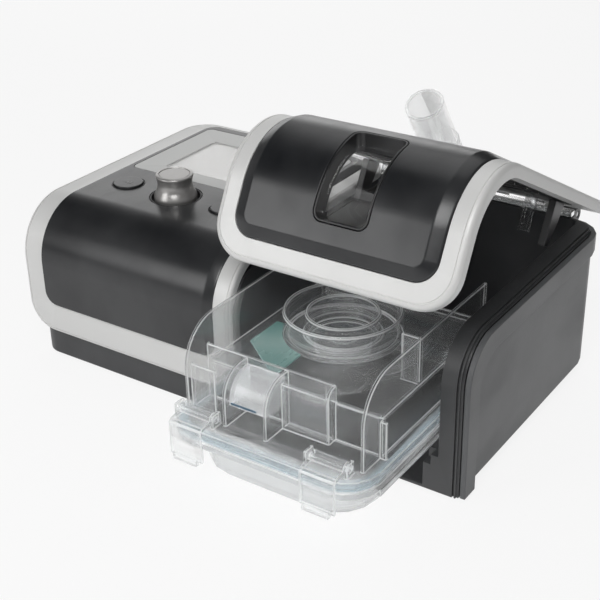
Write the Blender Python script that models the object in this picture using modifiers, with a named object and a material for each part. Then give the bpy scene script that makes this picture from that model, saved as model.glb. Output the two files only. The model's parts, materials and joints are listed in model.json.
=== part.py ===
"""A bedside positive airway pressure machine, standing on a table.

The blower unit with its display, knob and buttons is on the left. The humidifier bay is on the
right, with its lid open and its clear water chamber drawn partly out of the front.

Metres, +Z up, +Y to the back, +X to the right as someone faces the machine. All pieces are placed
from the table plane, the front of the humidifier's side wall and the parting plane between the two
halves, and one root empty then puts the origin under the middle of the whole machine.
"""
import math

import bmesh
import bpy
from mathutils import Matrix, Vector

# Whole machine
parting_x = 0.0054           # right edge of the blower unit
blower_left = -0.1480
bay_right = 0.1448           # outer face of the right side wall
housing_rear = 0.1710
gap = 0.0003                 # clearance between touching pieces
joint_gap = 0.0004           # clearance where a piece turns or slides
overrun = 0.0040             # how far a cutter runs past what it cuts
arc_steps = 8                # facets of the hood's bend
corner_steps = 4
ring_steps = 32
merge_distance = 0.000002    # points nearer than this are one point

# Hood profile, shared by the blower's frame and the lid
hood_top = 0.0995
frame_front = -0.0030
frame_foot = 0.0205
frame_radius = 0.0330
frame_wall = 0.0050
frame_edge = 0.0016
lid_front = -0.0115
lid_foot = 0.0205
lid_radius = 0.0400
lid_wall = 0.0070

# Blower frame and panel
frame_corner = 0.0180
band_bottom = 0.0190
band_left = 0.0150
band_right = 0.0130
band_rear = 0.0060
panel_raise = 0.0014
panel_edge = 0.0012
panel_corner = 0.0090
side_inset = 0.0015          # how far the blower's side walls stand in from the frame
base_inset = 0.0045
base_corner = 0.0140
foot_height = 0.0020
foot_radius = 0.0070
foot_inset = 0.0180

# Display
lens_left = -0.1290
lens_right = -0.0150
lens_front = 0.0780
lens_rear_margin = 0.0130    # from the housing's rear to the lens
lens_thickness = 0.0012
lens_corner = 0.0040
screen_side_margin = 0.0180   # from the lens's edges in to the screen's
screen_front_margin = 0.0115
screen_rear_margin = 0.0180
screen_thickness = 0.0010
lens_rear = housing_rear - lens_rear_margin
screen_left = lens_left + screen_side_margin
screen_right = lens_right - screen_side_margin
screen_front = lens_front + screen_front_margin
screen_rear = lens_rear - screen_rear_margin

# Knob and buttons
knob_x = -0.0752
controls_y = 0.0552
well_radius = 0.0158
well_wall = 0.0013
well_depth = 0.0044
knob_radius = 0.0142
knob_waist = 0.0104
knob_top_radius = 0.0112
knob_height = 0.0158
knob_travel = 0.0012
disc_share = 0.80
rim_share = 0.84
knob_foot = 0.0026
knob_curve_steps = 8
shaft_radius = 0.0030
shaft_length = 0.0100
button_radius = 0.0090
button_offset = 0.0370
button_well_radius = 0.0101
button_height = 0.0014
button_travel = 0.0010
button_depth = 0.0050

# Humidifier bay
wall_step = 0.0080           # the side wall's top lies this much under the hood's
wall_top = hood_top - wall_step
wall_front = 0.0000
wall_radius = 0.0260
cover_thickness = 0.0032
cover_border = 0.0130
cover_recess = 0.0020
cover_corner = 0.0200        # radius of the cover's upright rear corner
cover_foot = 0.0070          # the panel's lower edge, over the table
cover_toe = 0.0140           # how far back the cover's front foot reaches
undercut = 0.0085            # how far the bay's foot stands in under the cover
bay_corner = 0.0040          # radius of the bay's inner rear corners
cover_left_over = 0.0016     # how far the side cover stands back at the front
bay_inner_right = 0.1330
bay_inner_left = 0.0066
bay_rear_wall = 0.0060
bay_floor = 0.0040
rib_width = 0.0016
rib_depth = 0.0009
rib_pitch = 0.0160
ledge_width = 0.0085
ledge_top = 0.0242
groove_width = 0.0010
groove_depth = 0.0012
heater_thickness = 0.0014
heater_radius = 0.0440
rear_trim_height = 0.0040
rear_trim_depth = 0.0050
groove_start = 0.0086
ledge_slot = 0.0060
ledge_left_start = 0.0090    # the left ledge begins behind the left latch
port_radius = 0.0130
port_wall = 0.0020
port_z = 0.0665
port_length = 0.0120

# Lid
lid_left = 0.0090
lid_right = 0.1465
lid_rear_margin = 0.0070
lid_rear = housing_rear - lid_rear_margin
lid_corner = 0.0200
lid_band_bottom = 0.0125
lid_band_side = 0.0110
lid_band_rear = 0.0120
lid_panel_raise = 0.0026
lid_panel_border = 0.0070    # width of the slope round the lid's panel
lid_panel_corner = 0.0120
liner_inset = 0.0060
window_left = 0.0650
window_right = 0.0975
window_low = 0.0290          # heights along the profile, from the lid's foot
window_high = 0.0890
window_corner = 0.0055
bezel_wall = 0.0012
pane_thickness = 0.0015
lid_open_angle = math.radians(27.9)
hinge_behind = 0.0060        # the hinge line behind the housing's rear
hinge_under = 0.0095         # and under the hood's top
hinge_y = housing_rear + hinge_behind
hinge_z = hood_top - hinge_under
hinge_radius = 0.0045
pin_radius = 0.0016
knuckle_width = 0.0120
knuckle_margin = 0.0060
hinge_right_inset = 0.0330   # from the lid's right side in to the right knuckle's middle
ear_width = 0.0080
lid_rear_corner = 0.0030
lid_edge = 0.0032
panel_seat_share = 0.45
liner_pitch = 0.0180
post_left = 0.0075
post_right = 0.1315
post_width = 0.0042
post_behind = 0.0380         # from the lid's rear edge forward to a post's front
post_y = lid_rear - post_behind
post_depth = 0.0140
post_drop = 0.0260
post_tip_share = 0.80
post_knee_share = 0.45
tongue_left = 0.0165
tongue_right = 0.1100
tongue_behind = 0.0310
tongue_y = lid_rear - tongue_behind
tongue_width = 0.0055
tongue_depth = 0.0090
tongue_drop = 0.0200

# Water chamber, in its docked place
chamber_out = 0.0720         # how far the chamber is drawn out
tub_left = 0.0125
tub_right = 0.1195
tub_front = 0.0220
tub_rear = 0.1500
tub_rim = 0.0865
tub_radius = 0.0240
tub_wall = 0.0018
deck_top = 0.0600
tank_front = 0.0410          # the water tank's own front wall
tank_front_top = 0.0700
tub_rear_lip = 0.0030        # the tub's rear wall over the deck
flange_left = 0.0068
flange_right = 0.1262
flange_front = 0.0080
flange_rear = 0.1530
flange_corner = 0.0190
flange_rear_corner = 0.0080
shell_flange_low = 0.0352
shell_flange_top = 0.0392
seal_low = 0.0332
pan_flange_low = 0.0290
pan_margin = 0.0095
pan_bottom = 0.0076
pan_corner = 0.0240
pan_wall = 0.0020
pan_edge = 0.0060
runner_width = 0.0035
base_thickness = 0.0012
seal_width = 0.0046
seal_inset = 0.0012
spout_x = 0.0590
spout_y = 0.1000
spout_radius = 0.0325
spout_inner_radius = 0.0205
spout_top = 0.0760
spout_wall = 0.0020
spout_floor = 0.0012
throat_top = 0.0745
cup_radius = 0.0200
plate_left = 0.0220
plate_right = 0.0530
plate_front = 0.0430
plate_rear = 0.0910
plate_cut = 0.0231           # how far the plate's slanted front corner reaches back
plate_thickness = 0.0012
grip_left = 0.0400
grip_right = 0.0650
grip_radius = 0.0150
drum_radius = 0.0150
drum_behind = 0.0030         # the thumb grip's front stands behind its walls'
drum_foot = 0.0505
drum_under = 0.0030          # and its top under theirs
pocket_right = 0.0910
pocket_front = 0.0330
pocket_top = 0.0650
grip_front = 0.0190
pocket_radius = 0.0060
pillar_inset = 0.0030
fin_y = 0.0370
fin_reach = 0.0035
gusset_y = 0.0765
gusset_reach = 0.0100
cup_low = 0.0300
cup_foot_share = 0.70

# Latches of the chamber
latch_width = 0.0205
latch_left_x = 0.0235
latch_right_x = 0.1030
latch_y = 0.0170
latch_z = 0.0429
latch_barrel = 0.0034
latch_pin = 0.0014
latch_wall = 0.0018
latch_reach = 0.0112
latch_drop = 0.0215
tab_width = 0.0155
ear_thickness = 0.0018

# Outlet at the rear, and its elbow
outlet_x = 0.0270
outlet_behind = 0.0330
outlet_y = housing_rear + outlet_behind
duct_radius = 0.0165
duct_under = 0.0195          # the duct's top under the hood's
duct_top = hood_top - duct_under
socket_radius = 0.0150
elbow_radius = 0.0122
elbow_bore = 0.0101
elbow_collar = 0.0132
collar_length = 0.0160
elbow_stub = 0.0080
elbow_length = 0.0540
elbow_tilt = math.radians(34.0)
elbow_bend = 0.0160
duct_corner_share = 0.7
port_depth = 0.0240
socket_height = 0.0050
elbow_steps = 5
pipe_rings = 6

# Rear of the blower
power_x = -0.0300
power_z = 0.0400
power_radius = 0.0070
power_bore = 0.0040
filter_x = -0.1000
filter_z = 0.0520
filter_width = 0.0560
filter_height = 0.0440
filter_thickness = 0.0030
slat_height = 0.0018
slat_pitch = 0.0056
slat_share = 0.38

# Derived places
rear_end = outlet_y + duct_radius
front_end = latch_y - latch_reach - latch_wall - chamber_out
right_end = bay_right + gap + cover_thickness
centre_x = (blower_left + right_end) / 2
centre_y = (front_end + rear_end) / 2
chamber_x = (flange_left + flange_right) / 2
cover_seam = right_end - cover_corner


def clear_scene():
    for item in list(bpy.data.objects):
        bpy.data.objects.remove(item, do_unlink=True)
    for group in list(bpy.data.collections):
        bpy.data.collections.remove(group)


clear_scene()
machine = bpy.data.collections.new("airway_pressure_machine")
bpy.context.scene.collection.children.link(machine)
cutters = bpy.data.collections.new("cutters")
bpy.context.scene.collection.children.link(cutters)


# Materials
def material(name, colour, roughness, metallic=0.0, alpha=1.0):
    made = bpy.data.materials.new(name)
    made.use_nodes = True
    shader = made.node_tree.nodes["Principled BSDF"]
    shader.inputs["Base Color"].default_value = (*colour, 1.0)
    shader.inputs["Roughness"].default_value = roughness
    shader.inputs["Metallic"].default_value = metallic
    shader.inputs["Alpha"].default_value = alpha
    made.diffuse_color = (*colour, alpha)
    return made


charcoal = material("charcoal", (0.045, 0.047, 0.050), 0.45)
black = material("black", (0.012, 0.012, 0.013), 0.50)
silver = material("silver", (0.62, 0.61, 0.59), 0.35, 0.6)
grey = material("side_grey", (0.14, 0.145, 0.15), 0.50)
clear = material("clear_plastic", (0.86, 0.88, 0.90), 0.08, 0.0, 0.35)
smoke = material("smoked_plastic", (0.30, 0.31, 0.33), 0.15, 0.0, 0.6)
teal = material("teal_plastic", (0.16, 0.42, 0.38), 0.25, 0.0, 0.7)
blue = material("blue_seal", (0.05, 0.25, 0.36), 0.50)
rubber = material("rubber", (0.015, 0.015, 0.016), 0.80)
steel = material("steel", (0.55, 0.55, 0.56), 0.30, 1.0)
lens = material("lens", (0.20, 0.20, 0.19), 0.20)
screen = material("screen", (0.55, 0.56, 0.52), 0.40)


# Building helpers
def empty(name, place, parent=None):
    made = bpy.data.objects.new(name, None)
    made.location = place
    made.parent = parent
    machine.objects.link(made)
    return made


def add(name, mesh, surface, parent=None, smooth=True):
    made = bpy.data.objects.new(name, mesh)
    mesh.name = name
    mesh.materials.clear()
    mesh.materials.append(surface)
    made.parent = parent or root
    machine.objects.link(made)
    if smooth:
        mesh.shade_smooth()
        mesh.set_sharp_from_angle(angle=math.radians(35))
    return made


def finish_mesh(bm):
    bmesh.ops.recalc_face_normals(bm, faces=bm.faces)
    mesh = bpy.data.meshes.new("piece")
    bm.to_mesh(mesh)
    bm.free()
    return mesh


def baked(item, matrix=None):
    """Return the evaluated mesh of an object and remove the object."""
    bpy.context.view_layer.update()
    graph = bpy.context.evaluated_depsgraph_get()
    mesh = bpy.data.meshes.new_from_object(item.evaluated_get(graph))
    mesh.transform(matrix or item.matrix_world)
    bpy.data.objects.remove(item, do_unlink=True)
    return mesh


def combined(mesh, others, operation):
    """Apply one exact Boolean for each of the other meshes."""
    item = bpy.data.objects.new("work", mesh)
    cutters.objects.link(item)
    tools = []
    for other in others:
        tool = bpy.data.objects.new("tool", other)
        tool.hide_render = True
        tool.display_type = "WIRE"
        cutters.objects.link(tool)
        modifier = item.modifiers.new("cut", "BOOLEAN")
        modifier.operation = operation
        modifier.solver = "EXACT"
        modifier.object = tool
        tools.append(tool)
    made = baked(item)
    for tool in tools:
        bpy.data.objects.remove(tool, do_unlink=True)
    return made


def cut(mesh, others):
    return combined(mesh, others, "DIFFERENCE")


def joined(mesh, others):
    return combined(mesh, others, "UNION")


def block(low, high, corner=0.0, edge=0.0, rear_corner=None):
    """A box between two corners. Its upright edges are rounded by corner, its top ones by edge."""
    bm = bmesh.new()
    bmesh.ops.create_cube(bm, size=1.0)
    size = Vector(high) - Vector(low)
    middle = (Vector(high) + Vector(low)) / 2
    for vert in bm.verts:
        vert.co = Vector(a * b for a, b in zip(vert.co, size)) + middle
    rear = corner if rear_corner is None else rear_corner
    for radius, side in ((corner, low[1]), (rear, high[1])):
        if radius <= 0:
            continue
        upright = [e for e in bm.edges
                   if abs(e.verts[0].co.z - e.verts[1].co.z) > size.z / 2
                   and abs(e.verts[0].co.y - side) < gap / 10]
        bmesh.ops.bevel(bm, geom=upright, offset=radius, segments=corner_steps, profile=0.5,
                        affect="EDGES", clamp_overlap=False)
    if edge > 0:
        rim = [e for e in bm.edges if all(abs(v.co.z - high[2]) < gap / 10 for v in e.verts)]
        bmesh.ops.bevel(bm, geom=rim, offset=edge, segments=2, profile=0.5,
                        affect="EDGES", clamp_overlap=False)
    return finish_mesh(bm)


def cylinder(radius, length, centre, axis="Z", steps=ring_steps, top_radius=None):
    bm = bmesh.new()
    bmesh.ops.create_cone(bm, cap_ends=True, segments=steps, radius1=radius,
                          radius2=radius if top_radius is None else top_radius, depth=length)
    turn = {"Z": Matrix(), "X": Matrix.Rotation(math.pi / 2, 4, "Y"),
            "Y": Matrix.Rotation(-math.pi / 2, 4, "X")}[axis]
    bm.transform(Matrix.Translation(centre) @ turn)
    return finish_mesh(bm)


def turned(profile, centre, steps=ring_steps):
    """Radius and height pairs turned about Z, running from top to bottom on the outside.

    The profile is a closed loop, unless it starts on the axis: then it also ends there.
    """
    mesh = bpy.data.meshes.new("profile")
    points = [(radius, 0.0, height) for radius, height in profile]
    edges = [(i, i + 1) for i in range(len(points) - 1)]
    if profile[0][0] > 0:
        edges.append((len(points) - 1, 0))
    mesh.from_pydata(points, edges, [])
    item = bpy.data.objects.new("turned", mesh)
    cutters.objects.link(item)
    screw = item.modifiers.new("turn", "SCREW")
    screw.axis = "Z"
    screw.steps = steps
    screw.render_steps = steps
    screw.use_merge_vertices = True
    screw.merge_threshold = merge_distance
    made = baked(item)
    bm = bmesh.new()
    bm.from_mesh(made)
    bmesh.ops.remove_doubles(bm, verts=bm.verts, dist=merge_distance)
    bm.transform(Matrix.Translation(centre))
    return finish_mesh(bm)


def prism(outline, low, high):
    """An outline of (y, z) points, extruded along X between low and high."""
    curve = bpy.data.curves.new("outline", "CURVE")
    curve.dimensions = "2D"
    curve.fill_mode = "BOTH"
    curve.extrude = (high - low) / 2
    spline = curve.splines.new("POLY")
    spline.points.add(len(outline) - 1)
    for point, (y, z) in zip(spline.points, outline):
        point.co = (y, z, 0.0, 1.0)
    spline.use_cyclic_u = True
    item = bpy.data.objects.new("outline", curve)
    cutters.objects.link(item)
    # the curve's own X, Y and Z become the machine's Y, Z and X
    turn = Matrix(((0, 0, 1, (low + high) / 2), (1, 0, 0, 0), (0, 1, 0, 0), (0, 0, 0, 1)))
    made = baked(item, turn)
    bm = bmesh.new()
    bm.from_mesh(made)
    bmesh.ops.remove_doubles(bm, verts=bm.verts, dist=merge_distance)
    return finish_mesh(bm)


# The hood's bent profile
class Hood:
    """A front wall, a round bend and a flat top. Length runs from the foot over the bend."""

    def __init__(self, front, top, foot, radius):
        self.front, self.top, self.foot, self.radius = front, top, foot, radius
        self.rise = top - radius - foot
        self.bend = radius * math.pi / 2

    def place(self, length, out):
        """The (y, z) place at a length along the profile and a height out of its surface."""
        if length <= self.rise:
            return self.front - out, self.foot + length
        if length <= self.rise + self.bend:
            angle = (length - self.rise) / self.radius
            reach = self.radius + out
            return (self.front + self.radius - reach * math.cos(angle),
                    self.top - self.radius + reach * math.sin(angle))
        return self.front + self.radius + length - self.rise - self.bend, self.top + out

    def length_at(self, y):
        """The length at which the flat top reaches y."""
        return self.rise + self.bend + y - self.front - self.radius

    def stations(self):
        return [self.rise + self.bend * i / arc_steps for i in range(arc_steps + 1)]

    def outline(self, out, rear):
        """The profile's points at a height out of the surface, from the foot to y = rear."""
        points = [self.place(0.0, out)]
        points += [self.place(length, out) for length in self.stations()]
        return points + [self.place(self.length_at(rear), out)]

    def bent(self, mesh):
        """Bend a flat mesh, whose Y is the length and whose Z is the height, over the profile."""
        bm = bmesh.new()
        bm.from_mesh(mesh)
        for length in self.stations():
            parts = bm.verts[:] + bm.edges[:] + bm.faces[:]
            bmesh.ops.bisect_plane(bm, geom=parts, plane_co=(0, length, 0), plane_no=(0, 1, 0),
                                   dist=merge_distance)
        bmesh.ops.triangulate(bm, faces=[f for f in bm.faces if len(f.verts) > 4])
        for vert in bm.verts:
            y, z = self.place(vert.co.y, vert.co.z)
            vert.co = (vert.co.x, y, z)
        return finish_mesh(bm)


blower_hood = Hood(frame_front, hood_top, frame_foot, frame_radius)
lid_hood = Hood(lid_front, hood_top, lid_foot, lid_radius)
wall_hood = Hood(wall_front, wall_top, 0.0, wall_radius)
tub_hood = Hood(tub_front, tub_rim, shell_flange_top - gap, tub_radius)


# Roots and joint axes
root = empty("machine", (-centre_x, -centre_y, 0))
lid_axis = empty("lid_axis", (lid_left, hinge_y, hinge_z), root)
lid_axis.rotation_euler = (-lid_open_angle, 0, 0)
lid_zero = empty("lid_zero", (-lid_left, -hinge_y, -hinge_z), lid_axis)
chamber_slide = empty("chamber_slide", (0, -chamber_out, 0), root)
knob_axis = empty("knob_axis", (knob_x, controls_y, hood_top), root)
elbow_axis = empty("elbow_axis", (outlet_x, outlet_y, duct_top), root)


# Blower unit
def make_blower_core():
    """The dark housing that the frame and panel sit on, with its foot."""
    rear = housing_rear - side_inset
    points = blower_hood.outline(-frame_wall - gap, rear)
    points += [(rear, frame_foot)]
    core = prism(points, blower_left + side_inset, parting_x - side_inset)
    shaft = cylinder(shaft_radius + joint_gap, shaft_length * 3, (knob_x, controls_y, hood_top),
                     steps=16)
    tools = [shaft]
    depth = button_depth + button_travel + joint_gap - panel_raise
    for side in (-1, 1):
        place = (knob_x + side * button_offset, controls_y, hood_top)
        tools.append(cylinder(button_radius + joint_gap, depth * 2, place))
    add("blower_core", cut(core, tools), charcoal)


def make_blower_base():
    base = block((blower_left + base_inset, frame_front + base_inset, foot_height + gap),
                 (parting_x - base_inset, housing_rear - base_inset, frame_foot - gap),
                 corner=base_corner)
    add("blower_base", base, black)


def frame_lengths():
    """How far along the profile the frame's opening begins and ends."""
    low = band_bottom
    high = blower_hood.length_at(housing_rear - band_rear)
    return low, high


def make_silver_frame():
    whole = block((blower_left, 0, -frame_wall),
                  (parting_x, blower_hood.length_at(housing_rear), 0),
                  corner=frame_corner, edge=frame_edge)
    low, high = frame_lengths()
    hole = block((blower_left + band_left, low, -frame_wall - overrun),
                 (parting_x - band_right, high, overrun), corner=panel_corner)
    add("silver_frame", blower_hood.bent(cut(whole, [hole])), silver)


def make_front_panel():
    low, high = frame_lengths()
    panel = block((blower_left + band_left + gap, low + gap, -frame_wall),
                  (parting_x - band_right - gap, high - gap, panel_raise),
                  corner=panel_corner - gap, edge=panel_edge)
    panel = blower_hood.bent(panel)
    tools = [cylinder(well_radius, overrun * 4, (knob_x, controls_y, hood_top))]
    for side in (-1, 1):
        place = (knob_x + side * button_offset, controls_y, hood_top)
        tools.append(cylinder(button_well_radius, overrun * 4, place))
    pocket = block((lens_left - gap, lens_front - gap, hood_top + panel_raise - lens_thickness),
                   (lens_right + gap, lens_rear + gap, hood_top + overrun),
                   corner=lens_corner + gap)
    screen_pocket = block((screen_left - gap, screen_front - gap, screen_low() - gap),
                          (screen_right + gap, screen_rear + gap, hood_top + overrun))
    add("front_panel", cut(panel, tools + [pocket, screen_pocket]), charcoal)


def screen_low():
    return hood_top + panel_raise - lens_thickness - screen_thickness


def make_display():
    top = hood_top + panel_raise
    plate = block((lens_left, lens_front, top - lens_thickness + gap),
                  (lens_right, lens_rear, top), corner=lens_corner)
    add("display_lens", plate, lens)
    panel = block((screen_left, screen_front, screen_low()),
                  (screen_right, screen_rear, top - lens_thickness))
    add("display_screen", panel, screen)


def make_knob():
    """A waisted turning knob on its shaft, in a black well."""
    well_top = hood_top + panel_raise
    well_low = well_top - well_depth
    ring = [(well_radius - gap, well_top), (well_radius - gap, well_low),
            (shaft_radius + joint_gap, well_low), (shaft_radius + joint_gap, well_low + well_wall),
            (well_radius - well_wall, well_low + well_wall), (well_radius - well_wall, well_top)]
    add("knob_well", turned(ring, (knob_x, controls_y, 0)), black)
    low = panel_raise - well_depth + well_wall + knob_travel + joint_gap
    high = low + knob_height
    profile = [(0.0, high)]
    profile += [(knob_top_radius * disc_share, high), (knob_top_radius * disc_share, high - gap),
                (knob_top_radius * rim_share, high - gap), (knob_top_radius * rim_share, high)]
    profile += [(knob_top_radius, high - frame_edge / 2)]
    for step in range(1, knob_curve_steps):
        t = step / knob_curve_steps
        z = high - frame_edge / 2 - t * (high - frame_edge / 2 - low - knob_foot)
        bow = 4 * t * (1 - t)
        straight = knob_top_radius + (knob_radius - knob_top_radius) * t
        middle = (knob_top_radius + knob_radius) / 2
        profile.append((straight - bow * (middle - knob_waist), z))
    profile += [(knob_radius, low + knob_foot), (knob_radius, low), (0.0, low)]
    body = turned(profile, (0, 0, 0), steps=48)
    bore = cylinder(shaft_radius + joint_gap / 4, knob_height, (0, 0, low), steps=16)
    add("knob", cut(body, [bore]), silver, knob_axis)
    shaft_top = low + knob_height / 2 - gap
    shaft = cylinder(shaft_radius, shaft_length, (0, 0, shaft_top - shaft_length / 2), steps=16)
    add("knob_shaft", shaft, steel, knob_axis)


def make_buttons():
    for name, side in (("left", -1), ("right", 1)):
        x = knob_x + side * button_offset
        top = hood_top + panel_raise
        ring = [(button_well_radius - gap, top), (button_well_radius - gap, top - well_depth),
                (button_radius + joint_gap, top - well_depth), (button_radius + joint_gap, top)]
        add("button_well_" + name, turned(ring, (x, controls_y, 0)), black)
        axis = empty("button_axis_" + name, (x, controls_y, top), root)
        cap = [(0.0, button_height), (button_radius - button_height, button_height),
               (button_radius, 0.0), (button_radius, -button_depth), (0.0, -button_depth)]
        add("button_" + name, turned(cap, (0, 0, 0)), charcoal, axis)


def make_feet():
    left = blower_left + base_inset + foot_inset
    right = bay_right - foot_inset
    front = frame_front + base_inset + foot_inset
    rear = housing_rear - base_inset - foot_inset
    places = [(left, front), (left, rear), (right, front), (right, rear)]
    for count, (x, y) in enumerate(places, 1):
        pad = cylinder(foot_radius, foot_height, (x, y, foot_height / 2), steps=24)
        add(f"foot_{count}", pad, rubber)


def make_rear_fittings():
    """The power inlet and the air filter's slatted cover on the blower's back."""
    rear = housing_rear - side_inset
    length = power_radius
    inlet = cylinder(power_radius, length, (power_x, rear + gap + length / 2, power_z), "Y")
    bore = cylinder(power_bore, length, (power_x, rear + gap + length, power_z), "Y")
    add("power_inlet", cut(inlet, [bore]), black)
    cover = block((-filter_width / 2, -filter_height / 2, 0),
                  (filter_width / 2, filter_height / 2, filter_thickness),
                  corner=panel_corner / 2, edge=frame_edge / 2)
    slots = []
    count = int((filter_height - slat_pitch * 2) / slat_pitch)
    for i in range(count):
        y = (i - (count - 1) / 2) * slat_pitch
        slots.append(block((-filter_width * slat_share, y - slat_height / 2, filter_thickness / 2),
                           (filter_width * slat_share, y + slat_height / 2,
                            filter_thickness + overrun)))
    cover = cut(cover, slots)
    cover.transform(Matrix.Translation((filter_x, rear + gap, filter_z))
                    @ Matrix.Rotation(-math.pi / 2, 4, "X"))
    add("filter_cover", cover, charcoal)


make_blower_base()
make_blower_core()
make_silver_frame()
make_front_panel()
make_display()
make_knob()
make_buttons()
make_feet()
make_rear_fittings()


# Humidifier bay
def bay_profile():
    points = wall_hood.outline(0.0, housing_rear)
    points[0] = (points[0][0], foot_height + gap)
    return points + [(housing_rear, foot_height + gap)]


def make_bay_body():
    """The black bay: a floor, two side walls, a rear wall and two ledges for the chamber."""
    left = parting_x + gap
    body = prism(bay_profile(), left, bay_right + overrun)
    inner_rear = housing_rear - bay_rear_wall
    hollow = block((bay_inner_left + ledge_width, wall_front - overrun, bay_floor),
                   (bay_inner_right - ledge_width, inner_rear, wall_top + overrun))
    upper = block((bay_inner_left, wall_front - overrun, ledge_top),
                  (bay_inner_right, inner_rear, wall_top + overrun), rear_corner=bay_corner)
    port = cylinder(port_radius - port_wall + gap, bay_rear_wall * 4,
                    (outlet_x, housing_rear, port_z), "Y", steps=24)
    foot = block((bay_right - undercut, cover_toe, 0),
                 (bay_right + overrun * 2, housing_rear + overrun, cover_foot))
    body = cut(body, [hollow, upper, port, foot, beyond(cover_thickness + gap)])
    ribs = []
    count = int((inner_rear - wall_front) / rib_pitch)
    for i in range(1, count):
        y = wall_front + i * rib_pitch
        ribs.append(block((bay_inner_right - rib_depth, y - rib_width / 2, ledge_top + overrun),
                          (bay_inner_right + rib_depth, y + rib_width / 2, wall_top - overrun)))
    body = joined(body, ribs)
    grooves = []
    ring = wall_hood.outline(-groove_depth, inner_rear)
    ring += reversed(wall_hood.outline(overrun, inner_rear))
    low = bay_inner_right + groove_start
    grooves.append(prism(ring, low, low + groove_width))
    grooves.append(prism(ring, low + groove_width * 2, bay_right + overrun))
    slot = block((bay_inner_right - ledge_width, -overrun, ledge_top - ledge_slot),
                 (bay_inner_right - ledge_width / 2, ledge_slot, ledge_top + overrun))
    start = block((bay_inner_left, -overrun, bay_floor),
                  (bay_inner_left + ledge_width + overrun, ledge_left_start, ledge_top + overrun))
    add("bay_body", cut(body, grooves + [slot, start]), black)


def make_side_cover():
    """The grey outer cover of the right wall, which goes on round the upright rear corner.

    A raised border runs along its front and top, round a sunk panel.
    """
    rear = housing_rear + overrun
    outline = wall_hood.outline(-cover_left_over, rear)
    outline[0] = (outline[0][0], foot_height + gap)
    cover = prism(outline + [(rear, foot_height + gap)], cover_seam, right_end + overrun)
    inner = Hood(wall_front + cover_border, wall_top - cover_border, 0.0,
                 wall_radius - cover_border / 2)
    sunk = inner.outline(0.0, rear + overrun)
    sunk[0] = (sunk[0][0], -overrun)
    sunk += [(rear + overrun, -overrun)]
    pocket = prism(sunk, cover_seam - overrun, right_end + overrun * 2)
    pocket = cut(pocket, [upright(cover_recess)])
    foot = block((cover_seam - overrun, cover_toe, 0), (right_end + overrun * 2, rear + overrun,
                                                       cover_foot))
    cover = cut(cover, [beyond(0.0), upright(cover_thickness), pocket, foot])
    add("side_cover", cover, grey)


def upright(inset):
    """A tall block whose right and rear faces lie this far inside the cover's outer face."""
    high = wall_top + overrun * 4
    return block((parting_x - overrun, -overrun * 4, -overrun * 4),
                 (right_end - inset, housing_rear - inset, high), rear_corner=cover_corner - inset)


def beyond(inset):
    """All that lies outside that block, to the right of the cover's rear seam."""
    high = wall_top + overrun * 2
    around = block((cover_seam, -overrun * 2, -overrun * 2),
                   (right_end + overrun * 3, housing_rear + overrun * 3, high))
    return cut(around, [upright(inset)])


def make_rear_trim():
    """The bright bar along the top of the rear wall."""
    bar = block((bay_inner_left + gap, housing_rear - rear_trim_depth, wall_top + gap),
                (cover_seam - gap, housing_rear, wall_top + rear_trim_height), edge=gap * 2)
    add("rear_trim", bar, silver)


def make_heater():
    plate = cylinder(heater_radius, heater_thickness,
                     (chamber_x, (flange_front + flange_rear) / 2,
                      bay_floor + gap + heater_thickness / 2), steps=48)
    add("heater_plate", plate, steel)


def make_ports():
    """The air nozzle on the bay's rear wall, which the docked chamber meets."""
    inner_rear = housing_rear - bay_rear_wall
    ring = [(port_radius, port_length), (port_radius, 0.0), (port_radius - port_wall, 0.0),
            (port_radius - port_wall, port_length)]
    mesh = turned(ring, (0, 0, 0), steps=24)
    mesh.transform(Matrix.Translation((outlet_x, inner_rear - gap, port_z))
                   @ Matrix.Rotation(math.pi / 2, 4, "X"))
    add("air_port", mesh, smoke)


def make_hinge_ears():
    """The housing's ears at the rear, between which the lid's knuckles turn."""
    for name, x in hinge_places():
        for side in (-1, 1):
            low = x + side * (knuckle_width / 2 + joint_gap + ear_width / 2) - ear_width / 2
            ear = hinge_arm(low, low + ear_width, housing_rear + gap)
            bore = cylinder(pin_radius + gap, ear_width * 2, (low + ear_width / 2, hinge_y, hinge_z),
                            "X", steps=16)
            add(f"hinge_ear_{name}_{'ab'[side > 0]}", cut(ear, [bore]), black)
        length = knuckle_width + ear_width * 2
        pin = cylinder(pin_radius, length, (x, hinge_y, hinge_z), "X", steps=16)
        add("hinge_pin_" + name, pin, steel)


def hinge_places():
    return (("left", duct_right() + knuckle_width), ("right", lid_right - hinge_right_inset))


def duct_right():
    return outlet_x + duct_radius + knuckle_margin * 2


def hinge_arm(low, high, face):
    """An ear with a round end about the hinge axis and a square root at y = face."""
    points = [(face, hinge_z - hinge_radius * 2.5), (face, hinge_z + hinge_radius)]
    for step in range(arc_steps + 1):
        angle = math.pi / 2 - math.pi * step / arc_steps
        points.append((hinge_y + hinge_radius * math.cos(angle),
                       hinge_z + hinge_radius * math.sin(angle)))
    return prism(points, low, high)


make_bay_body()
make_side_cover()
make_rear_trim()
make_heater()
make_ports()
make_hinge_ears()


# Lid, placed as it lies when closed
def lid_opening():
    low = lid_band_bottom
    high = lid_hood.length_at(lid_rear) - lid_band_rear
    return lid_left + lid_band_side, lid_right - lid_band_side, low, high


def window_cutter(margin):
    return block((window_left - margin, window_low - margin, -lid_wall - overrun),
                 (window_right + margin, window_high + margin, lid_panel_raise + overrun),
                 corner=window_corner + margin)


def flattened(mesh, share):
    """Press down what stands over the lid's own surface, so its rounded edge becomes a slope."""
    for vert in mesh.vertices:
        if vert.co.z > 0:
            vert.co.z *= share
    return mesh


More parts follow.
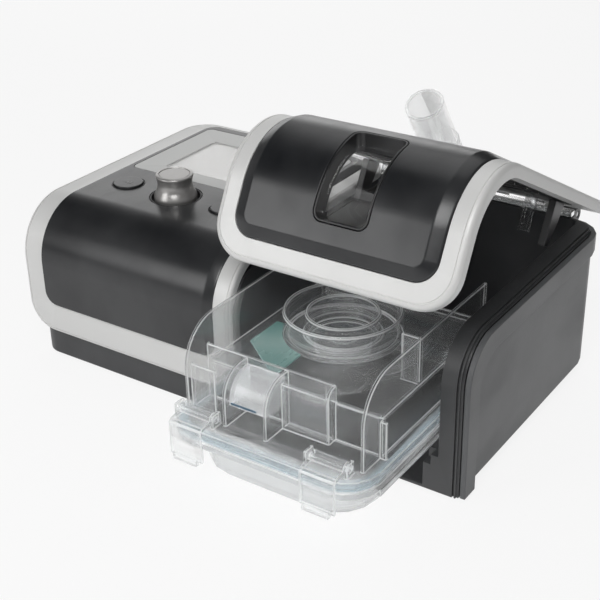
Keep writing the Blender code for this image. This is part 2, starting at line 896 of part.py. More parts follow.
def make_lid_shell():
    whole = block((lid_left, 0, -lid_wall), (lid_right, lid_hood.length_at(lid_rear), 0),
                  corner=lid_corner, rear_corner=lid_rear_corner, edge=lid_edge)
    left, right, low, high = lid_opening()
    hole = block((left, low, -lid_wall - overrun), (right, high, overrun), corner=lid_panel_corner)
    add("lid_frame", lid_hood.bent(cut(whole, [hole])), silver, lid_zero)
    seat = lid_wall * panel_seat_share
    panel = block((left + gap, low + gap, -seat), (right - gap, high - gap, lid_panel_border),
                  corner=lid_panel_corner - gap, edge=lid_panel_border - gap)
    panel = flattened(panel, lid_panel_raise / lid_panel_border)
    add("lid_panel", lid_hood.bent(cut(panel, [window_cutter(0.0)])), charcoal, lid_zero)
    liner = block((left + gap, low + gap, -lid_wall), (right - gap, high - gap, -seat - gap),
                  corner=lid_panel_corner - gap)
    liner = cut(liner, [window_cutter(0.0)])
    ribs = []
    count = int((lid_hood.length_at(post_y) - low) / liner_pitch)
    for i in range(1, count):
        y = low + i * liner_pitch
        for start, end in ((left + liner_inset, window_left - liner_inset),
                           (window_right + liner_inset, right - liner_inset)):
            ribs.append(block((start, y, -lid_wall - rib_depth),
                              (end, y + rib_width, -lid_wall + rib_depth)))
    add("lid_liner", lid_hood.bent(joined(liner, ribs)), black, lid_zero)


def make_lid_window():
    outer = block((window_left + gap, window_low + gap, -lid_wall),
                  (window_right - gap, window_high - gap, lid_panel_raise),
                  corner=window_corner - gap)
    bezel = cut(outer, [window_cutter(-gap - bezel_wall)])
    add("lid_window_bezel", lid_hood.bent(bezel), black, lid_zero)
    margin = gap * 2 + bezel_wall
    pane = block((window_left + margin, window_low + margin, -lid_wall / 2 - pane_thickness),
                 (window_right - margin, window_high - margin, -lid_wall / 2),
                 corner=window_corner - margin)
    add("lid_window_pane", lid_hood.bent(pane), clear, lid_zero)


def make_lid_posts():
    """Two black posts and two clear tongues under the lid, which reach down beside the chamber."""
    top = hood_top - lid_wall - gap
    for name, low, high in (("left", post_left, post_left + post_width),
                            ("right", post_right - post_width, post_right)):
        outline = [(post_y, top), (post_y + post_depth, top),
                   (post_y + post_depth * post_tip_share, top - post_drop * post_knee_share),
                   (post_y + post_depth / 3, top - post_drop), (post_y, top - post_drop)]
        add("lid_post_" + name, prism(outline, low, high), black, lid_zero)
    for name, low in (("left", tongue_left), ("right", tongue_right)):
        tongue = block((low, tongue_y, top - tongue_drop),
                       (low + tongue_width, tongue_y + tongue_depth, top),
                       corner=tongue_depth / 4)
        add("lid_tongue_" + name, tongue, smoke, lid_zero)


def make_lid_knuckles():
    """The lid's arms, which reach over the rear trim to the hinge pins."""
    arm_low = wall_top + rear_trim_height + gap * 2
    for name, x in hinge_places():
        points = [(lid_rear + gap, hood_top), (lid_rear + gap, arm_low),
                  (hinge_y - hinge_radius * 1.2, arm_low)]
        for step in range(arc_steps * 2 + 1):
            angle = math.radians(190) + math.radians(250) * step / (arc_steps * 2)
            points.append((hinge_y + hinge_radius * math.cos(angle),
                           hinge_z + hinge_radius * math.sin(angle)))
        points.append((hinge_y - hinge_radius / 2, hood_top))
        arm = prism(points, x - knuckle_width / 2, x + knuckle_width / 2)
        bore = cylinder(pin_radius + joint_gap / 8, knuckle_width * 2, (x, hinge_y, hinge_z), "X",
                        steps=16)
        add("lid_knuckle_" + name, cut(arm, [bore]), silver, lid_zero)


make_lid_shell()
make_lid_window()
make_lid_posts()
make_lid_knuckles()


# Water chamber, placed as it lies when docked
def flange(low, high, inset=0.0):
    return block((flange_left + inset, flange_front + inset, low),
                 (flange_right - inset, flange_rear - inset, high),
                 corner=flange_corner - inset, rear_corner=flange_rear_corner - inset)


def front_arc(front, top, foot, radius, rear):
    """A plate's (y, z) outline with a round upper front corner."""
    return Hood(front, top, foot, radius).outline(0.0, rear) + [(rear, foot)]


def make_chamber_shell():
    """Clear walls with the lid's bend on their front, a deck over the water and front pockets."""
    seat = shell_flange_top - gap
    body = prism(tub_hood.outline(0.0, tub_rear) + [(tub_rear, seat)], tub_left, tub_right)
    inner = (tub_left + tub_wall, tub_right - tub_wall)
    tray = block((inner[0], tank_front, deck_top), (inner[1], tub_rear - tub_wall,
                                                   tub_rim + overrun))
    rear = block((tub_left - overrun, tub_rear - tub_wall - gap, deck_top + tub_rear_lip),
                 (tub_right + overrun, tub_rear + overrun, tub_rim + overrun))
    tank = block((inner[0], tank_front + tub_wall, shell_flange_low - overrun),
                 (inner[1], tub_rear - tub_wall, deck_top - tub_wall))
    low = shell_flange_top
    porch = block((inner[0], -overrun * 4, seat - overrun), (inner[1], tank_front - tub_wall,
                                                             tub_rim + overrun))
    crest = block((inner[0], tank_front - tub_wall - gap, tank_front_top),
                  (inner[1], tank_front + gap, tub_rim + overrun))
    open_crest = block((pocket_right + tub_wall / 2, tank_front - tub_wall - gap, deck_top + gap),
                       (inner[1], tank_front + gap, tub_rim + overrun))
    spout_hole = cylinder(spout_inner_radius - tub_wall, overrun * 4,
                          (spout_x, spout_y, deck_top), steps=32)
    plate = flange(shell_flange_low, shell_flange_top)
    tank_low = block((tub_left + tub_wall, tank_front + tub_wall, shell_flange_low - overrun),
                     (tub_right - tub_wall, tub_rear - tub_wall, shell_flange_top + overrun))
    plate = cut(plate, [tank_low])
    shell = joined(cut(body, [porch]), [plate])
    shell = cut(shell, [tray, rear, tank, crest, open_crest, spout_hole])
    walls = []
    for x in (grip_left, grip_right):
        outline = front_arc(grip_front, tank_front_top - gap, low - gap, grip_radius,
                            tank_front - gap)
        walls.append(prism(outline, x - tub_wall, x))
    outline = front_arc(pocket_front, tank_front_top - gap, low - gap, pocket_radius,
                        tank_front - gap)
    walls.append(prism(outline, pocket_right, pocket_right + tub_wall))
    walls.append(block((grip_right - gap, pocket_front, low - gap),
                       (pocket_right + gap, pocket_front + tub_wall, pocket_top)))
    walls.append(block((tub_left + gap, tub_front + pillar_inset, low - gap),
                       (grip_left - tub_wall * 6, tub_front + pillar_inset + tub_wall,
                        pocket_top)))
    walls.append(block((tub_right - gap, fin_y, low - gap),
                       (tub_right + fin_reach, fin_y + tub_wall, deck_top)))
    walls.append(block((inner[1] - gusset_reach, gusset_y, deck_top - gap),
                       (inner[1] + gap, gusset_y + tub_wall, tub_rim - gap)))
    for x in (latch_left_x, latch_right_x):
        walls += latch_ears(x)
    add("chamber_shell", joined(shell, walls), clear, chamber_slide)


def latch_ears(x):
    """The two ears on the flange that hold a latch's pin."""
    ears = []
    for side in (-1, 1):
        middle = x + side * (latch_width / 2 + joint_gap + ear_thickness / 2)
        ear = block((middle - ear_thickness / 2, latch_y - latch_barrel, shell_flange_top - gap),
                    (middle + ear_thickness / 2, latch_y + latch_barrel, latch_z + latch_barrel))
        bore = cylinder(latch_pin + gap, ear_thickness * 2, (middle, latch_y, latch_z), "X",
                        steps=16)
        ears.append(cut(ear, [bore]))
    return ears


def make_chamber_grip():
    """The rounded thumb grip between the two middle walls, open underneath."""
    low = drum_foot
    hood = Hood(grip_front + drum_behind, tank_front_top - drum_under, low, drum_radius)
    outer = prism(hood.outline(0.0, tank_front - tub_wall - gap)
                  + [(tank_front - tub_wall - gap, low)],
                  grip_left + gap, grip_right - tub_wall - gap)
    inner = prism(hood.outline(-tub_wall, tank_front)
                  + [(tank_front, low - overrun), (hood.front + tub_wall, low - overrun)],
                  grip_left + gap + tub_wall, grip_right - tub_wall * 2 - gap)
    add("chamber_grip", cut(outer, [inner]), clear, chamber_slide)


def make_spout():
    """The air spout on the deck: an outer ring, a channel round it and an inner throat."""
    low = deck_top + gap
    top = spout_top
    lip = spout_wall / 2
    inner = spout_radius - spout_wall
    floor = low + spout_floor
    throat = spout_inner_radius - spout_wall
    profile = [(spout_radius - lip, top), (spout_radius, top - lip), (spout_radius, low),
               (throat, low), (throat, throat_top - lip), (throat + lip, throat_top),
               (spout_inner_radius, throat_top - lip), (spout_inner_radius, floor + lip),
               (spout_inner_radius + lip, floor), (inner - lip, floor), (inner, floor + lip),
               (inner, top - lip)]
    add("chamber_spout", turned(profile, (spout_x, spout_y, 0), steps=40), clear, chamber_slide)
    cup_top = deck_top - tub_wall - gap
    cup = [(cup_radius, cup_top), (cup_radius * cup_foot_share, cup_low),
           (cup_radius * cup_foot_share - spout_wall, cup_low), (cup_radius - spout_wall, cup_top)]
    add("chamber_cup", turned(cup, (spout_x, spout_y, 0), steps=24), clear, chamber_slide)
    plate = block((plate_left, plate_front, deck_top + gap),
                  (plate_right, plate_rear, deck_top + gap + plate_thickness), edge=gap)
    ring = cylinder(spout_radius + gap, overrun * 2, (spout_x, spout_y, deck_top), steps=40)
    corner = block((-plate_rear, -plate_rear, -overrun), (plate_rear, 0, overrun))
    slant = math.atan2(plate_cut, plate_right - plate_left)
    corner.transform(Matrix.Translation((plate_right, plate_front, deck_top))
                     @ Matrix.Rotation(-slant, 4, "Z"))
    add("chamber_plate", cut(plate, [ring, corner]), teal, chamber_slide)


def make_seal():
    ring = flange(seal_low, shell_flange_low - gap, seal_inset)
    add("chamber_seal", cut(ring, [flange(seal_low - overrun, shell_flange_low + overrun,
                                          seal_inset + seal_width)]), blue, chamber_slide)


def make_pan():
    """The lower pan: a flange, a round-cornered bowl, side runners and a metal base."""
    top = seal_low - gap
    plate = flange(pan_flange_low, top)
    margin = pan_margin
    bowl = block((flange_left + margin, flange_front + margin, pan_bottom),
                 (flange_right - margin, flange_rear - margin, top), corner=pan_corner,
                 rear_corner=pan_corner / 2)
    bowl = bevel_bottom(bowl, pan_bottom, pan_edge)
    inner = block((flange_left + margin + pan_wall, flange_front + margin + pan_wall,
                   pan_bottom + pan_wall),
                  (flange_right - margin - pan_wall, flange_rear - margin - pan_wall,
                   top + overrun), corner=pan_corner - pan_wall,
                  rear_corner=pan_corner / 2 - pan_wall)
    inner = bevel_bottom(inner, pan_bottom + pan_wall, pan_edge - pan_wall / 2)
    runners = []
    for x in (flange_left + gap, flange_right - gap - runner_width):
        runners.append(block((x, flange_front + flange_corner + gap, ledge_top + gap),
                             (x + runner_width, flange_rear - flange_rear_corner - gap,
                              pan_flange_low + gap)))
    pan = cut(joined(plate, [bowl] + runners), [inner])
    add("chamber_pan", pan, clear, chamber_slide)
    middle = (chamber_x, (flange_front + flange_rear) / 2)
    disc = cylinder(heater_radius, base_thickness,
                    (*middle, pan_bottom - gap - base_thickness / 2), steps=48)
    add("chamber_base", disc, steel, chamber_slide)


def bevel_bottom(mesh, level, radius):
    bm = bmesh.new()
    bm.from_mesh(mesh)
    rim = [e for e in bm.edges if all(abs(v.co.z - level) < gap / 10 for v in e.verts)]
    bmesh.ops.bevel(bm, geom=rim, offset=radius, segments=3, profile=0.5, affect="EDGES",
                    clamp_overlap=False)
    return finish_mesh(bm)


make_chamber_shell()
make_chamber_grip()
make_spout()
make_seal()
make_pan()


# Latches on the chamber's front
def latch_outline():
    """From the barrel over the flange's edge, down its front to the hook and the thumb tab."""
    barrel = []
    for step in range(arc_steps * 2 + 1):
        angle = math.radians(-90) + math.radians(270) * step / (arc_steps * 2)
        barrel.append((latch_barrel * math.cos(angle), latch_barrel * math.sin(angle)))
    front = -latch_reach
    bottom = -latch_drop
    return barrel + [(front + latch_wall, -latch_wall / 2), (front, -latch_wall * 1.5),
                     (front, bottom), (front + latch_wall, bottom),
                     (front + latch_wall, -latch_barrel)]


def make_latches():
    for name, x in (("left", latch_left_x), ("right", latch_right_x)):
        axis = empty("latch_axis_" + name, (x, latch_y, latch_z), chamber_slide)
        plate = prism(latch_outline(), -latch_width / 2, latch_width / 2)
        tab = block((-tab_width / 2, -latch_reach - latch_wall, -latch_drop - latch_wall),
                    (tab_width / 2, -latch_reach + latch_wall / 2, -latch_drop + latch_wall))
        bore = cylinder(latch_pin + joint_gap / 8, latch_width * 2, (0, 0, 0), "X", steps=16)
        add("latch_" + name, cut(joined(plate, [tab]), [bore]), clear, axis)
        pin = cylinder(latch_pin, latch_width + ear_thickness * 2, (x, latch_y, latch_z), "X",
                       steps=16)
        add("latch_pin_" + name, pin, clear, chamber_slide)


make_latches()


# Outlet at the rear and its elbow
def make_outlet():
    """The duct behind the rear wall, with a round socket on top for the elbow."""
    face = housing_rear + gap
    duct = block((outlet_x - duct_radius, face, foot_height + gap),
                 (outlet_x + duct_radius, outlet_y + duct_radius, duct_top),
                 corner=0.0, rear_corner=duct_radius * duct_corner_share, edge=frame_edge)
    bore = cylinder(elbow_bore, port_depth * 2, (outlet_x, outlet_y, duct_top), steps=24)
    tunnel = cylinder(port_radius - port_wall, outlet_y - face,
                      (outlet_x, face + (outlet_y - face) / 2 - overrun, port_z), "Y", steps=24)
    add("outlet_duct", cut(duct, [bore, tunnel]), black)
    ring = [(socket_radius, duct_top + gap + socket_height), (socket_radius, duct_top + gap),
            (elbow_radius + joint_gap, duct_top + gap),
            (elbow_radius + joint_gap, duct_top + gap + socket_height)]
    add("outlet_socket", turned(ring, (outlet_x, outlet_y, 0)), black)


def elbow_route():
    """The elbow's centre line: up from the socket, round a bend and forward to its open end."""
    points = [Vector((0, 0, gap * 2))]
    bend_low = elbow_stub
    for step in range(elbow_steps + 1):
        angle = elbow_tilt * step / elbow_steps
        points.append(Vector((0, -elbow_bend * (1 - math.cos(angle)),
                              bend_low + elbow_bend * math.sin(angle))))
    ahead = Vector((0, -math.sin(elbow_tilt), math.cos(elbow_tilt)))
    points.append(points[-1] + ahead * collar_length)
    points.append(points[-1] + ahead * (elbow_length - collar_length))
    return points, ahead


def pipe(points, radius):
    curve = bpy.data.curves.new("pipe", "CURVE")
    curve.dimensions = "3D"
    curve.bevel_depth = radius
    curve.bevel_resolution = pipe_rings
    curve.use_fill_caps = True
    spline = curve.splines.new("POLY")
    spline.points.add(len(points) - 1)
    for point, place in zip(spline.points, points):
        point.co = (*place, 1.0)
    item = bpy.data.objects.new("pipe", curve)
    cutters.objects.link(item)
    bm = bmesh.new()
    bm.from_mesh(baked(item))
    bmesh.ops.remove_doubles(bm, verts=bm.verts, dist=merge_distance)
    return finish_mesh(bm)


def make_elbow():
    points, ahead = elbow_route()
    outer = pipe(points, elbow_radius)
    collar = pipe(points[-3:-1], elbow_collar)
    inner = [points[0] - Vector((0, 0, overrun))] + points[1:-1] + [points[-1] + ahead * overrun]
    add("elbow", cut(joined(outer, [collar]), [pipe(inner, elbow_bore)]), clear, elbow_axis)


make_outlet()
make_elbow()
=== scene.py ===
# %% [markdown]
# A bedside breathing machine, opened for filling. The left half is the blower with its display,
# knob and buttons, and the right half is a humidifier whose clear water chamber is drawn out of
# the front. The construction model gives every piece its true size and place. This script gives
# those pieces their rounded edges and finishes, and sets up a plain studio round them.

# %% Load the construction model
import json
import math

import bmesh
import bpy
from mathutils import Matrix, Vector


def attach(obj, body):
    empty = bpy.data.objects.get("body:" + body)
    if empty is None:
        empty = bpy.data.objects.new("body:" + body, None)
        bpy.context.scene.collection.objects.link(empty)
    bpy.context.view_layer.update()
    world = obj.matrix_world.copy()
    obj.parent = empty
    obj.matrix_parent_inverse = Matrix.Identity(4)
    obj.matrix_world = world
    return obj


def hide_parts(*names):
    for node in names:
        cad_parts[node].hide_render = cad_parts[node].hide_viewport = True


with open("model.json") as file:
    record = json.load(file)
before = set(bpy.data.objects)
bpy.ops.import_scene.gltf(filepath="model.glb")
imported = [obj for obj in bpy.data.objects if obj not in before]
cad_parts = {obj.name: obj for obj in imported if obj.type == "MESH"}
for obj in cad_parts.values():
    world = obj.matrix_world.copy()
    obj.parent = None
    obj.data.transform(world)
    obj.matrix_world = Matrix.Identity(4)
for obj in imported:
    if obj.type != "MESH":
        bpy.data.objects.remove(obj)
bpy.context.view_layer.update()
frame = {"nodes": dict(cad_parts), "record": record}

scene = bpy.context.scene

# %% [markdown]
# The camera stands where the photographer stood: a little to the right, looking down by about 28
# degrees. Its place is a real distance in metres from the middle of the machine. Aiming it with a
# matrix, whose columns are the camera's right, up and back directions, keeps the slight roll that
# a Track To constraint would take out.

# %% Camera
camera_place = Vector((0.36775, -0.53735, 0.3858))
camera_right = Vector((0.8292, 0.5586, -0.0189))
camera_up = Vector((-0.2467, 0.3960, 0.8845))
camera_back = camera_right.cross(camera_up)
focal_length = 73.98
sensor_width = 36.0


def aimed(right, up, back, place):
    turn = Matrix((right, up, back)).transposed()
    return Matrix.Translation(place) @ turn.to_4x4()


camera = bpy.data.objects.new("camera", bpy.data.cameras.new("camera"))
camera.data.lens = focal_length
camera.data.sensor_width = sensor_width
camera.matrix_world = aimed(camera_right, camera_up, camera_back, camera_place)
scene.collection.objects.link(camera)
scene.camera = camera
scene.view_settings.view_transform = "Standard"
print("camera distance", round(camera_place.length, 3))

# %% [markdown]
# Dark satin plastic shows what surrounds it more than its own colour. The world is paler near the
# horizon than overhead, by the height of each direction: flat faces pick up the paler part, and
# the bend above them, which mirrors the ceiling, goes darker. The Background node keeps its own
# dark grey of 5 per cent, so all this is a dim fill, and the lamps and the floor do most of the
# work. Light Path gives the camera and glass rays an even background, mirror rays the full
# strength, and diffuse light less.

# %% World
sweep_top = 0.42             # height of a direction at which the paler part ends
ceiling_start = 0.80
ceiling_level = 0.26
world_strength = 0.66


def link(tree, source, target):
    tree.links.new(source, target)


def fed(tree, socket, value):
    """Give a socket a number or a colour, or join another socket to it."""
    if isinstance(value, bpy.types.NodeSocket):
        link(tree, value, socket)
    else:
        socket.default_value = (*value, 1.0) if isinstance(value, tuple) else value


def calculated(tree, operation, first, second):
    """The result of a Math node."""
    node = tree.nodes.new("ShaderNodeMath")
    node.operation = operation
    fed(tree, node.inputs[0], first)
    fed(tree, node.inputs[1], second)
    return node.outputs[0]


def blended(tree, factor, first, second):
    """The result of a Mix node for two numbers."""
    node = tree.nodes.new("ShaderNodeMix")
    for name, value in (("Factor", factor), ("A", first), ("B", second)):
        fed(tree, node.inputs[name], value)
    return node.outputs["Result"]


def ranged(tree, value, low, high, new_low=0.0, new_high=1.0, curve="LINEAR"):
    """A number moved from one range to another, and held inside it."""
    node = tree.nodes.new("ShaderNodeMapRange")
    node.interpolation_type = curve
    for name, number in (("Value", value), ("From Min", low), ("From Max", high),
                         ("To Min", new_low), ("To Max", new_high)):
        fed(tree, node.inputs[name], number)
    return node.outputs["Result"]


def any_ray(tree, *kinds):
    """One for rays of these kinds, and zero for all others."""
    rays = tree.nodes.new("ShaderNodeLightPath")
    found = rays.outputs[kinds[0]]
    for kind in kinds[1:]:
        found = calculated(tree, "MAXIMUM", found, rays.outputs[kind])
    return found


def studio_world():
    world = bpy.data.worlds.new("studio")
    scene.world = world
    world.use_nodes = True
    tree = world.node_tree
    place = tree.nodes.new("ShaderNodeTexCoord")
    split = tree.nodes.new("ShaderNodeSeparateXYZ")
    link(tree, place.outputs["Generated"], split.inputs[0])
    height = ranged(tree, split.outputs["Z"], sweep_top, ceiling_start, 1.0, ceiling_level,
                    "SMOOTHSTEP")
    seen = any_ray(tree, "Is Camera Ray", "Is Transmission Ray")
    mirrored = any_ray(tree, "Is Camera Ray", "Is Transmission Ray", "Is Glossy Ray")
    level = calculated(tree, "MULTIPLY", height, blended(tree, mirrored, world_strength, 1.0))
    link(tree, blended(tree, seen, level, 1.0), tree.nodes["Background"].inputs["Strength"])


studio_world()

# %% [markdown]
# Six large soft lamps shape the machine. The front box stands low at the left of the camera: the
# raised lid tilts back just enough to mirror it, which makes its face much paler than the upright
# front of the blower. The back box stands low behind, where the flat tops mirror it. One lamp
# hangs above, two weak ones fill the sides, and one shines from high in front into the clear
# chamber. Large lamps near the object give soft shadow edges.

# %% Lamps
# place in metres, width and height in metres, power in watts
lamp_places = {
    "front_box": ((-0.60, -1.07, 0.52), 0.55, 0.55, 3.6),
    "back_box": ((-0.85, 0.92, 0.47), 1.1, 0.5, 2.6),
    "top_lamp": ((-0.15, 0.55, 1.05), 0.9, 0.9, 2.4),
    "left_lamp": ((-1.10, -0.30, 0.60), 0.8, 0.8, 0.6),
    "right_lamp": ((1.05, -0.25, 0.55), 0.6, 0.6, 0.7),
    "chamber_lamp": ((0.40, -0.85, 1.00), 0.6, 0.6, 8.5),
}


def soft_lamp(name, place, width, height, power):
    data = bpy.data.lights.new(name, "AREA")
    data.shape = "RECTANGLE"
    data.size = width
    data.size_y = height
    data.energy = power
    lamp = bpy.data.objects.new(name, data)
    back = Vector(place).normalized()
    right = Vector((0, 0, 1)).cross(back).normalized()
    lamp.matrix_world = aimed(right, back.cross(right), back, place)
    scene.collection.objects.link(lamp)


for lamp_name, (lamp_place, lamp_width, lamp_height, lamp_power) in lamp_places.items():
    soft_lamp(lamp_name, lamp_place, lamp_width, lamp_height, lamp_power)
print("lamps", len(lamp_places))

# %% [markdown]
# The floor is a plain pale plane. Part of its brightness is given straight to the camera and to
# mirror and glass rays, which keeps it near white without adding diffuse light to the machine.
# The rest is ordinary diffuse reflection, which carries the soft shadow.

# %% Floor
floor_reach = 4.0
floor_colour = (0.90, 0.90, 0.90, 1.0)
floor_glow = 0.86


def make_floor():
    bm = bmesh.new()
    bmesh.ops.create_grid(bm, x_segments=1, y_segments=1, size=floor_reach)
    mesh = bpy.data.meshes.new("floor")
    bm.to_mesh(mesh)
    bm.free()
    floor = bpy.data.objects.new("floor", mesh)
    scene.collection.objects.link(floor)
    surface = bpy.data.materials.new("floor")
    surface.use_nodes = True
    tree = surface.node_tree
    tree.nodes.clear()
    out = tree.nodes.new("ShaderNodeOutputMaterial")
    matt = tree.nodes.new("ShaderNodeBsdfDiffuse")
    matt.inputs["Color"].default_value = floor_colour
    glow = tree.nodes.new("ShaderNodeEmission")
    seen = any_ray(tree, "Is Camera Ray", "Is Glossy Ray", "Is Transmission Ray")
    blend = tree.nodes.new("ShaderNodeMixShader")
    link(tree, calculated(tree, "MULTIPLY", seen, floor_glow), blend.inputs["Fac"])
    link(tree, matt.outputs[0], blend.inputs[1])
    link(tree, glow.outputs[0], blend.inputs[2])
    link(tree, blend.outputs[0], out.inputs["Surface"])
    mesh.materials.append(surface)


make_floor()

# %% [markdown]
# Moulded plastic is never quite smooth. The tool's etched surface leaves a fine grain, and the
# plastic flows unevenly, so its colour drifts over a few centimetres. Every plastic here needs
# both, so they are one node group with named sockets, built once and placed in each material.

# %% Grain group
plain_grain_scale = 2200.0
coarse_share = 0.31          # the coarse grain's scale, as a share of the fine one's


def new_group(name, inputs, outputs):
    """A node group with number sockets, and the two nodes that hold its ends."""
    tree = bpy.data.node_groups.new(name, "ShaderNodeTree")
    for title, value in inputs.items():
        socket = tree.interface.new_socket(title, in_out="INPUT", socket_type="NodeSocketFloat")
        socket.default_value = value
    for title in outputs:
        tree.interface.new_socket(title, in_out="OUTPUT", socket_type="NodeSocketFloat")
    return tree, tree.nodes.new("NodeGroupInput"), tree.nodes.new("NodeGroupOutput")


def noise_at(tree, scale, place, detail=3.0, factor=1.0):
    """Noise at a scale socket times a factor."""
    texture = tree.nodes.new("ShaderNodeTexNoise")
    texture.inputs["Detail"].default_value = detail
    if factor != 1.0:
        scale = calculated(tree, "MULTIPLY", scale, factor)
    link(tree, scale, texture.inputs["Scale"])
    link(tree, place, texture.inputs["Vector"])
    return texture.outputs[0]


def grain_group():
    tree, inside, outside = new_group("moulded grain",
                                      {"Grain Scale": plain_grain_scale, "Flow Scale": 22.0},
                                      ("Height", "Flow"))
    place = tree.nodes.new("ShaderNodeTexCoord").outputs["Object"]
    fine = noise_at(tree, inside.outputs["Grain Scale"], place)
    coarse = noise_at(tree, inside.outputs["Grain Scale"], place, 1.0, coarse_share)
    both = calculated(tree, "ADD", fine, coarse)
    link(tree, ranged(tree, both, 0.6, 1.4), outside.inputs["Height"])
    flow = noise_at(tree, inside.outputs["Flow Scale"], place, 4.0)
    link(tree, ranged(tree, flow, 0.32, 0.68), outside.inputs["Flow"])
    return tree


grain = grain_group()
print("group", grain.name)

# %% [markdown]
# Handling leaves marks: faint streaks where fingers slide, and dust that settles on faces that
# look up. The group gives two masks, and each material decides how much they change its gloss and
# colour.

# %% Handling group
speck_factor = 14.0          # dust is this many times finer than the smears


def handling_group():
    tree, inside, outside = new_group("handling marks", {"Smear Scale": 60.0},
                                      ("Smear", "Dust"))
    place = tree.nodes.new("ShaderNodeTexCoord").outputs["Object"]
    stretch = tree.nodes.new("ShaderNodeMapping")
    stretch.inputs["Scale"].default_value = (1.0, 0.25, 0.6)
    stretch.inputs["Rotation"].default_value = (0.2, 0.1, 0.7)
    link(tree, place, stretch.inputs["Vector"])
    smear = noise_at(tree, inside.outputs["Smear Scale"], stretch.outputs[0], 5.0)
    link(tree, ranged(tree, smear, 0.45, 0.75), outside.inputs["Smear"])
    faces = tree.nodes.new("ShaderNodeNewGeometry")
    split = tree.nodes.new("ShaderNodeSeparateXYZ")
    link(tree, faces.outputs["Normal"], split.inputs[0])
    upward = ranged(tree, split.outputs["Z"], 0.4, 1.0)
    specks = noise_at(tree, inside.outputs["Smear Scale"], place, 6.0, speck_factor)
    settled = calculated(tree, "MULTIPLY", upward, ranged(tree, specks, 0.56, 0.74))
    link(tree, settled, outside.inputs["Dust"])
    return tree


handling = handling_group()
print("group", handling.name)

# %% [markdown]
# Sharp corners of a moulding rub paler with use, and here they are also painted paler as a
# highlight, as if they caught more light. Cycles' Pointiness measures how sharply the mesh bends
# at each point, so one small group turns it into a mask of edge wear and painted highlight.

# %% Edge group
def edge_wear_and_highlight_group():
    tree, inside, outside = new_group("edge wear and painted highlight", {"Start": 0.52}, ("Edge",))
    bend = tree.nodes.new("ShaderNodeNewGeometry").outputs["Pointiness"]
    above = calculated(tree, "SUBTRACT", bend, inside.outputs["Start"])
    link(tree, ranged(tree, above, 0.0, 0.10), outside.inputs["Edge"])
    return tree


edges = edge_wear_and_highlight_group()
print("group", edges.name)

# %% [markdown]
# A plastic is a Principled BSDF whose base colour drifts a little with the flow and grows paler
# at sharp edges, partly as rub wear and partly as a painted highlight, whose roughness follows
# the smears, and whose grain is a shallow bump.
# Constants such as the specular level stay on the shader's own sockets.

# %% Plastic materials
colour_first, colour_second, colour_result = 6, 7, 2   # a Mix node's sockets for colours
dust_colour = (0.55, 0.54, 0.52)
coat_gloss = 0.26


def new_surface(name):
    """A new material, its node tree and its shader."""
    made = bpy.data.materials.new(name)
    made.use_nodes = True
    return made, made.node_tree, made.node_tree.nodes["Principled BSDF"]


def placed(tree, group, **values):
    node = tree.nodes.new("ShaderNodeGroup")
    node.node_tree = group
    for name, value in values.items():
        node.inputs[name.replace("_", " ").title()].default_value = value
    return node


def mixed(tree, factor, first, second):
    """The mix of two colours, each a colour or a socket."""
    node = tree.nodes.new("ShaderNodeMix")
    node.data_type = "RGBA"
    link(tree, factor, node.inputs["Factor"])
    fed(tree, node.inputs[colour_first], first)
    fed(tree, node.inputs[colour_second], second)
    return node.outputs[colour_result]


def bumped(tree, height, distance):
    node = tree.nodes.new("ShaderNodeBump")
    node.inputs["Distance"].default_value = distance
    node.inputs["Strength"].default_value = 1.0
    link(tree, height, node.inputs["Height"])
    return node.outputs[0]


def lighter(colour, share):
    return tuple(value + (1.0 - value) * share for value in colour)


def darker(colour, share):
    return tuple(value * (1.0 - share) for value in colour)


def plastic(name, colour, gloss, grain_height=0.00002, drift=0.12, dust=0.0, edge=0.04,
            metallic=0.0, specular=0.5, grain_scale=plain_grain_scale, coat=0.0):
    made, tree, shader = new_surface(name)
    texture = placed(tree, grain, grain_scale=grain_scale)
    marks = placed(tree, handling)
    edge_wear_and_highlight = placed(tree, edges)
    body = mixed(tree, texture.outputs["Flow"], darker(colour, drift), lighter(colour, drift / 6))
    # the edge mask lightens the colour at sharp edges: partly rub wear, partly a painted
    # highlight
    edged = mixed(tree, edge_wear_and_highlight.outputs["Edge"], body, lighter(colour, edge))
    if dust > 0:
        settled = calculated(tree, "MULTIPLY", marks.outputs["Dust"], dust)
        edged = mixed(tree, settled, edged, dust_colour)
    link(tree, edged, shader.inputs["Base Color"])
    link(tree, ranged(tree, marks.outputs["Smear"], 0.0, 1.0, *gloss),
         shader.inputs["Roughness"])
    link(tree, bumped(tree, texture.outputs["Height"], grain_height), shader.inputs["Normal"])
    shader.inputs["Metallic"].default_value = metallic
    shader.inputs["Specular IOR Level"].default_value = specular
    shader.inputs["Coat Weight"].default_value = coat
    shader.inputs["Coat Roughness"].default_value = coat_gloss
    return made


fine_grain_scale = 5200.0
charcoal = plastic("satin charcoal", (0.010, 0.011, 0.013), (0.30, 0.40), specular=0.36, coat=0.4)
black = plastic("black moulding", (0.010, 0.010, 0.011), (0.30, 0.45), dust=0.05)
bay_black = plastic("bay moulding", (0.030, 0.031, 0.033), (0.36, 0.50), dust=0.05)
base_grey = plastic("base grey", (0.028, 0.029, 0.032), (0.42, 0.55), 0.00003)
# the silver's strong edge lightening is partly wear and partly a painted highlight on its rounded
# edges
silver = plastic("silver paint", (0.74, 0.74, 0.73), (0.38, 0.44), 0.000006, 0.03, edge=0.3,
                 metallic=0.12, specular=0.22, grain_scale=fine_grain_scale)
